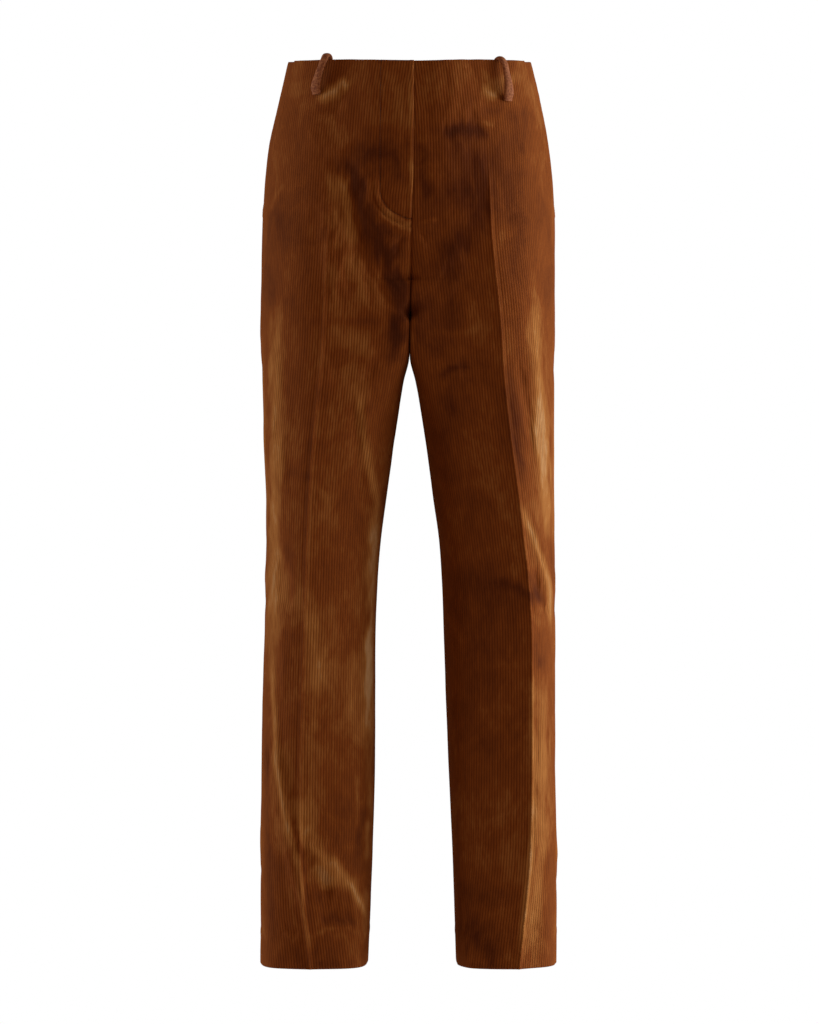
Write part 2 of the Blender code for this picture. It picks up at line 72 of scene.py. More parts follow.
# Sizes of the garment
OUTSEAM = 1.060
CROTCH_DROP = 0.304
CROTCH_SOFT = 0.024
WAIST_TILT = 0.09
WAIST_TILT_FADE = 0.150
FLY_DIP = 0.0020
FLY_DIP_REACH = 0.050
FLY_DIP_FADE = 0.060
SIDE_SEAM_Y = 0.004
FLY_SHIFT = 0.0040
CENTRE_FRONT_SHIFT = 0.0015
BACK_REACH = 0.4
LAP_OVER = 0.0015
LAP_DROP = 0.194
LAP_FADE = 0.048
MOUTH_END = 0.186
POCKET_UNDERLAP = 0.012
POCKET_FADE = 0.016
POCKET_SINK = WALL + 2 * SEAM_GAP
CURVE_STEPS = 60

# Levels closer together than this count as one.
SAME_LEVEL = 0.0003

# Where the fly's shift off the middle fades out, round to the sides and down to the legs
SHIFT_FRONT_DEPTH = 0.09
SHIFT_REACH = 0.12
SHIFT_BELOW_CROTCH = 0.06
SHIFT_FADE = 0.10

# The inner side of a piece is plainer: it keeps every so many rows and columns, and all where it curves.
PLAIN_ROWS = 4
PLAIN_COLUMNS = 8
CURVED_LEVELS = (0.235, 0.335)
HEM_LINE_ROWS = 0.0015


class Side(Enum):
    """A half of the garment, by the wearer's side and the sign of its X."""

    RIGHT = -1
    LEFT = 1


class Face(Enum):
    """The face of the garment that a fold lies on."""

    FRONT = "front"
    BACK = "back"
    RIGHT = "right"
    LEFT = "left"


class Seam(NamedTuple):
    """A level of the centre seams and inseams, as in the solids."""

    drop: float
    front: float
    back: float
    fold_deg: float
    full: float
    front_corner: float
    back_corner: float
    front_full: float
    front_reach: float


class Crease(NamedTuple):
    """A level of the pressed creases, as in the solids."""

    drop: float
    front: float
    back: float
    front_deg: float
    back_deg: float
    full: float


class Half(NamedTuple):
    """A level of one half, as distances from the middle, as in the solids."""

    drop: float
    outer: float
    inner: float
    crease: float
    in_deg: float
    out_deg: float


class Width(NamedTuple):
    """A width at one level."""

    drop: float
    width: float


class LoopPoint(NamedTuple):
    """A point of a belt loop's path: how far it stands off the cloth, and its level."""

    stand_off: float
    drop: float


class Ridge(NamedTuple):
    """A soft ridge along a line, or a groove where height is below zero."""

    height: float
    width: float
    place: float = 0.0

    def rise(self, away: Array) -> Array:
        """How high it stands at distances from the line."""
        return self.height * np.exp(-(((away - self.place) / self.width) ** 2))


class Fold(NamedTuple):
    """A soft ridge, or a trough where height is below zero, along a path of (across, drop) points."""

    height: float
    width: float
    path: Path


class PaintedLightStroke(NamedTuple):
    """A stroke of painted light and shade on the front, partly the pile's lie, in pixels of the front view.
    """

    light: float
    width: float
    path: Path

    def on_cloth(self) -> Fold:
        """The stroke in metres, with its path to the nearest millimetre."""
        path = [
            (round((x - MIDDLE_COLUMN) * PIXEL, 3), round(MIDDLE_DROP + (y - MIDDLE_ROW) * PIXEL, 3))
            for x, y in self.path
        ]
        return Fold(self.light, round(self.width * PIXEL, 4), tuple(path))


# The centre seams and the inseam, the creases and the two halves, level by level. The cloth leaves the
# creases at a sharper angle than in the solids, by a few millimetres, and the thighs press closer together.
SEAMS = (
    Seam(0.000, -0.0970, 0.0980, 0, 0.56, -0.030, 0.036, 0.56, 0.40),
    Seam(0.050, -0.1080, 0.1130, 0, 0.56, -0.030, 0.036, 0.56, 0.40),
    Seam(0.110, -0.1140, 0.1270, 0, 0.57, -0.030, 0.036, 0.57, 0.40),
    Seam(0.180, -0.1120, 0.1335, 0, 0.58, -0.060, 0.036, 0.58, 0.40),
    Seam(0.220, -0.1070, 0.1300, 8, 0.60, -0.080, 0.036, 0.60, 0.40),
    Seam(0.250, -0.1000, 0.1180, 22, 0.64, -0.084, 0.036, 0.70, 0.30),
    Seam(0.275, -0.0770, 0.0950, 70, 0.78, -0.096, 0.050, 0.92, 0.14),
    Seam(0.290, -0.0540, 0.0680, 84, 0.83, -0.097, 0.056, 0.97, 0.12),
    Seam(0.299, -0.0270, 0.0370, 84, 0.84, -0.096, 0.058, 0.97, 0.12),
    Seam(0.303, -0.0060, 0.0190, 84, 0.84, -0.096, 0.058, 0.97, 0.12),
    Seam(CROTCH_DROP, 0.0080, 0.0080, 84, 0.84, -0.096, 0.058, 0.97, 0.12),
    Seam(0.345, 0.0080, 0.0080, 84, 0.82, -0.084, 0.050, 0.95, 0.12),
    Seam(0.390, 0.0070, 0.0070, 84, 0.75, -0.044, 0.036, 0.85, 0.25),
    Seam(0.450, 0.0060, 0.0060, 84, 0.70, -0.016, 0.022, 0.72, 0.40),
    Seam(0.600, 0.0040, 0.0040, 84, 0.63, 0.000, 0.008, 0.63, 0.40),
    Seam(0.850, 0.0020, 0.0020, 84, 0.72, 0.000, 0.004, 0.72, 0.40),
    Seam(OUTSEAM, 0.0020, 0.0020, 84, 0.90, 0.000, 0.004, 0.90, 0.40),
)
CREASES = (
    Crease(0.000, -0.0815, 0.0830, 23, 24, 0.56),
    Crease(0.060, -0.0925, 0.0955, 21, 25, 0.56),
    Crease(0.120, -0.1000, 0.1075, 17, 23, 0.57),
    Crease(0.180, -0.1045, 0.1160, 11, 18, 0.58),
    Crease(0.240, -0.1065, 0.1195, 5, 9, 0.60),
    Crease(0.300, -0.1055, 0.1185, 0, 2, 0.60),
    Crease(0.360, -0.1010, 0.1135, 0, 0, 0.60),
    Crease(0.450, -0.0945, 0.1035, 0, 0, 0.60),
    Crease(0.580, -0.0865, 0.0915, 0, 0, 0.60),
    Crease(0.700, -0.0815, 0.0850, 0, 0, 0.62),
    Crease(0.850, -0.0795, 0.0820, 0, 0, 0.70),
    Crease(OUTSEAM, -0.0815, 0.0830, 0, 0, 0.86),
)
RIGHT_HALF = (
    Half(0.000, 0.1434, 0.0000, 0.0800, 0, 0),
    Half(0.045, 0.1540, 0.0000, 0.0850, 0, 0),
    Half(0.092, 0.1646, 0.0000, 0.0890, 0, 0),
    Half(0.139, 0.1705, 0.0000, 0.0910, 0, 0),
    Half(0.210, 0.1740, 0.0000, 0.0940, 2, 2),
    Half(0.304, 0.1752, 0.0003, 0.0990, 4, 5),
    Half(0.345, 0.1750, 0.0005, 0.1010, 5, 8),
    Half(0.375, 0.1735, 0.0072, 0.1035, 6, 10),
    Half(0.446, 0.1722, 0.0180, 0.1110, 7, 14),
    Half(0.517, 0.1693, 0.0277, 0.1165, 8, 17),
    Half(0.564, 0.1693, 0.0338, 0.1185, 9, 18),
    Half(0.610, 0.1699, 0.0376, 0.1200, 9, 18),
    Half(0.694, 0.1717, 0.0404, 0.1230, 10, 18),
    Half(0.812, 0.1740, 0.0406, 0.1262, 10, 15),
    Half(0.930, 0.1752, 0.0436, 0.1270, 9, 12),
    Half(OUTSEAM, 0.1752, 0.0488, 0.1150, 6, 8),
)
LEFT_HALF = (
    Half(0.000, 0.1434, 0.0000, 0.0800, 0, 0),
    Half(0.045, 0.1540, 0.0000, 0.0850, 0, 0),
    Half(0.092, 0.1634, 0.0000, 0.0890, 0, 2),
    Half(0.139, 0.1692, 0.0000, 0.0910, 2, 4),
    Half(0.210, 0.1717, 0.0000, 0.0940, 4, 9),
    Half(0.304, 0.1717, 0.0003, 0.1040, 5, 13),
    Half(0.345, 0.1707, 0.0005, 0.1070, 5, 15),
    Half(0.375, 0.1705, 0.0072, 0.1090, 5, 16),
    Half(0.446, 0.1705, 0.0188, 0.1170, 5, 21),
    Half(0.517, 0.1705, 0.0285, 0.1266, 4, 32),
    Half(0.564, 0.1709, 0.0350, 0.1320, 4, 45),
    Half(0.610, 0.1715, 0.0382, 0.1375, 3, 48),
    Half(0.694, 0.1717, 0.0412, 0.1415, 3, 48),
    Half(0.812, 0.1717, 0.0454, 0.1418, 3, 50),
    Half(0.930, 0.1735, 0.0507, 0.1394, 3, 50),
    Half(OUTSEAM, 0.1732, 0.0549, 0.1270, 3, 38),
)

# How far forward of the side seam the curved pocket mouth cuts the front.
POCKET_MOUTH = (
    Width(0.000, 0.0400),
    Width(0.060, 0.0420),
    Width(0.110, 0.0430),
    Width(0.142, 0.0380),
    Width(0.164, 0.0250),
    Width(0.175, 0.0110),
    Width(MOUTH_END, 0.0000),
)

# How far back from the centre front the fly lap is stitched.
FLY_LAP = (
    Width(0.000, 0.0370),
    Width(0.150, 0.0366),
    Width(0.170, 0.0350),
    Width(0.180, 0.0290),
    Width(0.187, 0.0210),
    Width(LAP_DROP, 0.0070),
)

# A belt loop's path over the waist edge, from its stitched end to the end tucked inside.
LOOP_PATH = (
    LoopPoint(0.0025, 0.0430),
    LoopPoint(0.0034, 0.0400),
    LoopPoint(0.0072, 0.0360),
    LoopPoint(0.0094, 0.0290),
    LoopPoint(0.0098, 0.0190),
    LoopPoint(0.0092, 0.0080),
    LoopPoint(0.0074, -0.0010),
    LoopPoint(0.0040, -0.0056),
    LoopPoint(-0.0002, -0.0062),
    LoopPoint(-0.0042, -0.0036),
    LoopPoint(-0.0049, 0.0030),
    LoopPoint(-0.0047, 0.0100),
)


class Loop(NamedTuple):
    """Where a belt loop is sewn, as in the solids."""

    node: str
    half: str
    face: Face
    top_x: float
    lean: float
    sink: float
    length: float


# The five belt loops. The back ones sit lowest, so that the front edge hides them from the front.
BELT_LOOPS = (
    Loop("belt_loop_front_right", "right", Face.FRONT, 0.0950, 0.0115, 0.0018, 0.0416),
    Loop("belt_loop_front_left", "left", Face.FRONT, 0.1040, 0.0085, 0.0052, 0.0458),
    Loop("belt_loop_back_right", "right", Face.BACK, 0.0800, 0.0020, 0.0034, 0.0420),
    Loop("belt_loop_back_left", "left", Face.BACK, 0.0800, 0.0020, 0.0034, 0.0420),
    Loop("belt_loop_centre_back", "left", Face.BACK, 0.0000, 0.0000, 0.0034, 0.0430),
)

# How the cloth lies along sewn and folded edges, pressed creases, the blind-stitched hem and the fly
SEWN_EDGE = Ridge(-0.0009, 0.0015)
ROLLED_EDGE = (Ridge(0.0006, 0.0022, 0.0030), Ridge(-0.0006, 0.0006))
PRESSED_EDGE = Ridge(0.0011, 0.0016)
PRESS_FADE = 0.06
HEM_STITCHES = Ridge(-0.0005, 0.0018)
HEM_FULLNESS = Ridge(0.0004, 0.004, 0.006)
PRICK_PITCH = 0.0085
FLY_STITCHES = Ridge(-0.0007, 0.0012)
FLY_RIDGES = (Ridge(0.0020, 0.0024, 0.0036), Ridge(-0.0012, 0.0018, 0.0082), Ridge(0.0012, 0.0028, 0.0122))
FLY_CURVE_TOP = 0.138
FLY_CURVE_FADE = 0.034
FLY_END = LAP_DROP + 0.0008
LAP_BED = 0.0010
LAP_BED_START = 0.0004
LAP_BED_FADE = 0.0006

# Swell of the whole cloth, and how far its broad folds stray from their paths
WAVES = 16
WAVE_RUN = 0.95
WAVE_SLANT = 0.5
WAVE_BEAT = 2.6
WANDER = 0.0011
WANDER_LENGTH = (0.018, 0.09)
WANDER_SEEDS = (23, 37)
SWELL_HEIGHT = 0.00012
SWELL_LENGTH = (0.045, 0.16)
SWELL_SEED = 11

# Folds up to NARROW keep to their paths, and those wider by BROADER stray in full. A fold tapers to its ends.
NARROW = 0.0036
BROADER = 0.005
FOLD_REACH = 3
FOLD_TAPER = 4
FOLD_END = 0.15

# How fast a face's folds fade where the cloth turns away from it, and the columns at a seam that lie flat
FACE_FADE = 3
OUTSIDE_FADE = 2.5
OUTSIDE_START = 0.8
FLAT_COLUMNS = 7

# Folds, seen from the front or the back by X, and on the outsides by Y.
FOLDS = {
    Face.FRONT: (
        # The broadest folds of the hips and legs
        Fold(-0.005, 0.013, ((-0.070, 0.130), (-0.064, 0.200), (-0.040, 0.250), (-0.016, 0.305))),
        Fold(0.003, 0.012, ((-0.100, 0.150), (-0.094, 0.220), (-0.080, 0.290))),
        Fold(-0.0011, 0.011, ((0.040, 0.088), (0.062, 0.083), (0.088, 0.090))),
        Fold(0.003, 0.012, ((-0.158, 0.330), (-0.156, 0.430), (-0.150, 0.540))),
        Fold(-0.003, 0.009, ((-0.164, 0.555), (-0.148, 0.600), (-0.140, 0.650))),
        Fold(0.003, 0.01, ((-0.052, 0.395), (-0.046, 0.455), (-0.038, 0.525))),
        Fold(0.004, 0.009, ((-0.164, 0.780), (-0.150, 0.850), (-0.134, 0.940), (-0.122, 1.000))),
        Fold(0.003, 0.012, ((-0.122, 0.920), (-0.096, 0.941), (-0.078, 0.968), (-0.060, 1.006))),
        Fold(-0.0014, 0.012, ((-0.104, 1.004), (-0.080, 1.000), (-0.060, 1.002))),
        Fold(0.003, 0.008, ((0.143, 0.540), (0.157, 0.592), (0.164, 0.650))),
        Fold(-0.0028, 0.01, ((0.137, 0.600), (0.150, 0.625), (0.158, 0.650))),
        Fold(-0.0026, 0.012, ((0.055, 0.372), (0.080, 0.366), (0.108, 0.370))),
        # Waist and hips
        Fold(0.0016, 0.008, ((-0.072, 0.020), (-0.090, 0.036), (-0.104, 0.056))),
        Fold(-0.0012, 0.006, ((-0.062, 0.030), (-0.078, 0.048), (-0.092, 0.068))),
        Fold(0.0014, 0.009, ((-0.120, 0.085), (-0.092, 0.110), (-0.066, 0.112))),
        Fold(-0.0014, 0.008, ((-0.096, 0.128), (-0.078, 0.130), (-0.060, 0.136))),
        Fold(-0.0006, 0.008, ((0.022, 0.104), (0.050, 0.098), (0.070, 0.103))),
        Fold(0.0008, 0.009, ((0.026, 0.068), (0.058, 0.062), (0.092, 0.062))),
        Fold(-0.0009, 0.004, ((0.118, 0.182), (0.138, 0.186), (0.158, 0.192))),
        Fold(0.0009, 0.004, ((0.116, 0.190), (0.136, 0.195), (0.156, 0.202))),
        Fold(0.001, 0.0045, ((0.118, 0.122), (0.130, 0.119), (0.142, 0.127))),
        Fold(0.0009, 0.003, ((0.007, 0.200), (0.018, 0.199), (0.031, 0.197))),
        Fold(-0.001, 0.0026, ((0.003, 0.206), (0.013, 0.210), (0.019, 0.219))),
        Fold(0.001, 0.003, ((0.006, 0.218), (0.014, 0.222), (0.018, 0.230))),
        Fold(-0.001, 0.003, ((-0.006, 0.214), (-0.012, 0.222), (-0.014, 0.234))),
        Fold(0.001, 0.004, ((-0.016, 0.212), (-0.022, 0.222), (-0.020, 0.236))),
        Fold(0.0018, 0.008, ((-0.052, 0.225), (-0.034, 0.262), (-0.012, 0.292))),
        Fold(0.0016, 0.008, ((0.010, 0.265), (0.030, 0.255), (0.055, 0.228))),
        Fold(-0.0014, 0.008, ((0.016, 0.300), (0.044, 0.290), (0.072, 0.262))),
        # The wearer's right leg
        Fold(0.0008, 0.0028, ((-0.121, 0.505), (-0.107, 0.510), (-0.092, 0.515))),
        Fold(-0.0008, 0.0026, ((-0.119, 0.513), (-0.108, 0.517), (-0.098, 0.523))),
        Fold(0.0014, 0.007, ((-0.040, 0.340), (-0.064, 0.352), (-0.090, 0.346))),
        Fold(-0.0014, 0.008, ((-0.034, 0.368), (-0.060, 0.380), (-0.096, 0.372))),
        Fold(-0.0018, 0.007, ((-0.064, 0.400), (-0.060, 0.460), (-0.052, 0.530))),
        Fold(0.0014, 0.006, ((-0.150, 0.660), (-0.146, 0.710), (-0.150, 0.760))),
        Fold(0.0014, 0.0036, (
            (-0.160, 0.684), (-0.157, 0.745), (-0.148, 0.833), (-0.133, 0.922), (-0.124, 0.982),
            (-0.116, 1.045),
        )),
        Fold(0.0018, 0.0032, ((-0.136, 0.904), (-0.130, 0.913), (-0.122, 0.920))),
        Fold(-0.001, 0.008, ((-0.118, 0.950), (-0.096, 0.966), (-0.078, 0.984))),
        Fold(0.0008, 0.003, ((-0.115, 1.024), (-0.086, 1.019), (-0.052, 1.014))),
        Fold(-0.0012, 0.0034, ((-0.146, 1.006), (-0.138, 1.015), (-0.128, 1.020))),
        Fold(0.001, 0.0034, ((-0.144, 1.016), (-0.134, 1.026), (-0.124, 1.028))),
        # The wearer's left leg
        Fold(0.002, 0.01, ((0.140, 0.330), (0.150, 0.402), (0.156, 0.470))),
        Fold(-0.0014, 0.007, ((0.128, 0.350), (0.137, 0.420), (0.143, 0.490))),
        Fold(0.0014, 0.007, ((0.050, 0.352), (0.076, 0.350), (0.106, 0.342))),
        Fold(0.0013, 0.006, ((0.030, 0.395), (0.044, 0.440), (0.050, 0.500))),
        Fold(0.0012, 0.006, ((0.128, 0.612), (0.144, 0.632), (0.156, 0.640))),
        Fold(0.0018, 0.006, ((0.158, 0.740), (0.150, 0.840), (0.144, 0.932), (0.136, 0.985))),
        Fold(-0.0012, 0.005, ((0.150, 0.790), (0.142, 0.870), (0.134, 0.940))),
        Fold(0.0014, 0.0045, ((0.160, 0.860), (0.155, 0.900), (0.150, 0.925))),
        Fold(-0.001, 0.0034, ((0.128, 1.008), (0.140, 1.012), (0.152, 1.010))),
        Fold(0.0009, 0.0034, ((0.126, 1.018), (0.138, 1.022), (0.150, 1.019))),
        Fold(0.0012, 0.008, ((0.060, 0.690), (0.074, 0.780), (0.070, 0.880))),
        Fold(0.001, 0.006, ((0.062, 0.960), (0.092, 0.972), (0.112, 0.996))),
    ),
    Face.BACK: (
        Fold(0.0022, 0.01, ((-0.024, 0.255), (-0.058, 0.286), (-0.104, 0.300))),
        Fold(0.0022, 0.01, ((0.022, 0.260), (0.060, 0.292), (0.100, 0.298))),
        Fold(-0.0026, 0.009, ((-0.022, 0.290), (-0.056, 0.314), (-0.106, 0.324))),
        Fold(-0.0024, 0.009, ((0.024, 0.296), (0.062, 0.318), (0.112, 0.322))),
        Fold(0.0018, 0.009, ((-0.034, 0.330), (-0.070, 0.350), (-0.128, 0.346))),
        Fold(0.0018, 0.009, ((0.036, 0.338), (0.078, 0.352), (0.132, 0.340))),
        Fold(-0.0016, 0.008, ((-0.046, 0.376), (-0.074, 0.392), (-0.120, 0.388))),
        Fold(-0.0015, 0.008, ((0.050, 0.382), (0.082, 0.392), (0.118, 0.384))),
        Fold(0.0016, 0.011, ((-0.104, 0.060), (-0.092, 0.120), (-0.088, 0.190))),
        Fold(0.0014, 0.011, ((0.106, 0.070), (0.096, 0.130), (0.090, 0.196))),
        Fold(-0.0014, 0.008, ((-0.050, 0.050), (-0.070, 0.062), (-0.100, 0.060))),
        Fold(-0.0012, 0.008, ((0.046, 0.060), (0.076, 0.068), (0.098, 0.062))),
        Fold(0.002, 0.008, ((-0.060, 0.560), (-0.100, 0.578), (-0.146, 0.570))),
        Fold(-0.0022, 0.007, ((-0.062, 0.586), (-0.096, 0.602), (-0.140, 0.600))),
        Fold(0.0016, 0.007, ((-0.066, 0.612), (-0.104, 0.628), (-0.150, 0.632))),
        Fold(0.0018, 0.008, ((0.064, 0.572), (0.102, 0.580), (0.148, 0.562))),
        Fold(-0.002, 0.007, ((0.068, 0.596), (0.104, 0.606), (0.142, 0.592))),
        Fold(0.0016, 0.007, ((0.070, 0.622), (0.106, 0.634), (0.146, 0.626))),
        Fold(0.0018, 0.009, ((-0.152, 0.700), (-0.140, 0.790), (-0.144, 0.880))),
        Fold(0.0016, 0.009, ((0.150, 0.720), (0.144, 0.800), (0.148, 0.900))),
        Fold(0.0024, 0.009, ((-0.066, 0.940), (-0.096, 0.962), (-0.136, 0.956))),
        Fold(-0.002, 0.008, ((-0.064, 0.968), (-0.098, 0.986), (-0.130, 0.984))),
        Fold(0.002, 0.009, ((0.072, 0.930), (0.104, 0.952), (0.142, 0.962))),
        Fold(-0.0018, 0.008, ((0.074, 0.960), (0.104, 0.980), (0.140, 0.990))),
    ),
    Face.RIGHT: (
        Fold(0.0006, 0.009, ((-0.030, 0.300), (0.006, 0.325), (0.040, 0.318))),
        Fold(-0.0006, 0.008, ((-0.034, 0.345), (0.004, 0.362), (0.036, 0.350))),
        Fold(0.0007, 0.008, ((-0.036, 0.590), (0.000, 0.612), (0.034, 0.598))),
        Fold(-0.0006, 0.008, ((-0.030, 0.625), (0.004, 0.640), (0.036, 0.630))),
        Fold(0.0008, 0.009, ((0.030, 0.880), (-0.006, 0.915), (-0.036, 0.930))),
        Fold(-0.0007, 0.008, ((0.034, 0.920), (0.000, 0.948), (-0.034, 0.962))),
    ),
    Face.LEFT: (
        Fold(0.0006, 0.009, ((-0.034, 0.310), (0.002, 0.330), (0.038, 0.312))),
        Fold(-0.0006, 0.008, ((-0.030, 0.350), (0.008, 0.366), (0.038, 0.346))),
        Fold(0.0007, 0.008, ((-0.038, 0.600), (0.002, 0.618), (0.036, 0.592))),
        Fold(-0.0006, 0.008, ((-0.032, 0.634), (0.004, 0.646), (0.034, 0.622))),
        Fold(0.0008, 0.009, ((0.034, 0.900), (0.000, 0.925), (-0.034, 0.935))),
        Fold(-0.0007, 0.008, ((0.036, 0.935), (0.004, 0.958), (-0.032, 0.970))),
    ),
}

# The front view is 819 pixels wide and 1024 high. A pixel covers PIXEL of the cloth nearest to the camera,
# and the view's middle lies at MIDDLE_DROP.
PIXEL = 0.001154
MIDDLE_COLUMN = 409.5
MIDDLE_ROW = 512
MIDDLE_DROP = 0.531
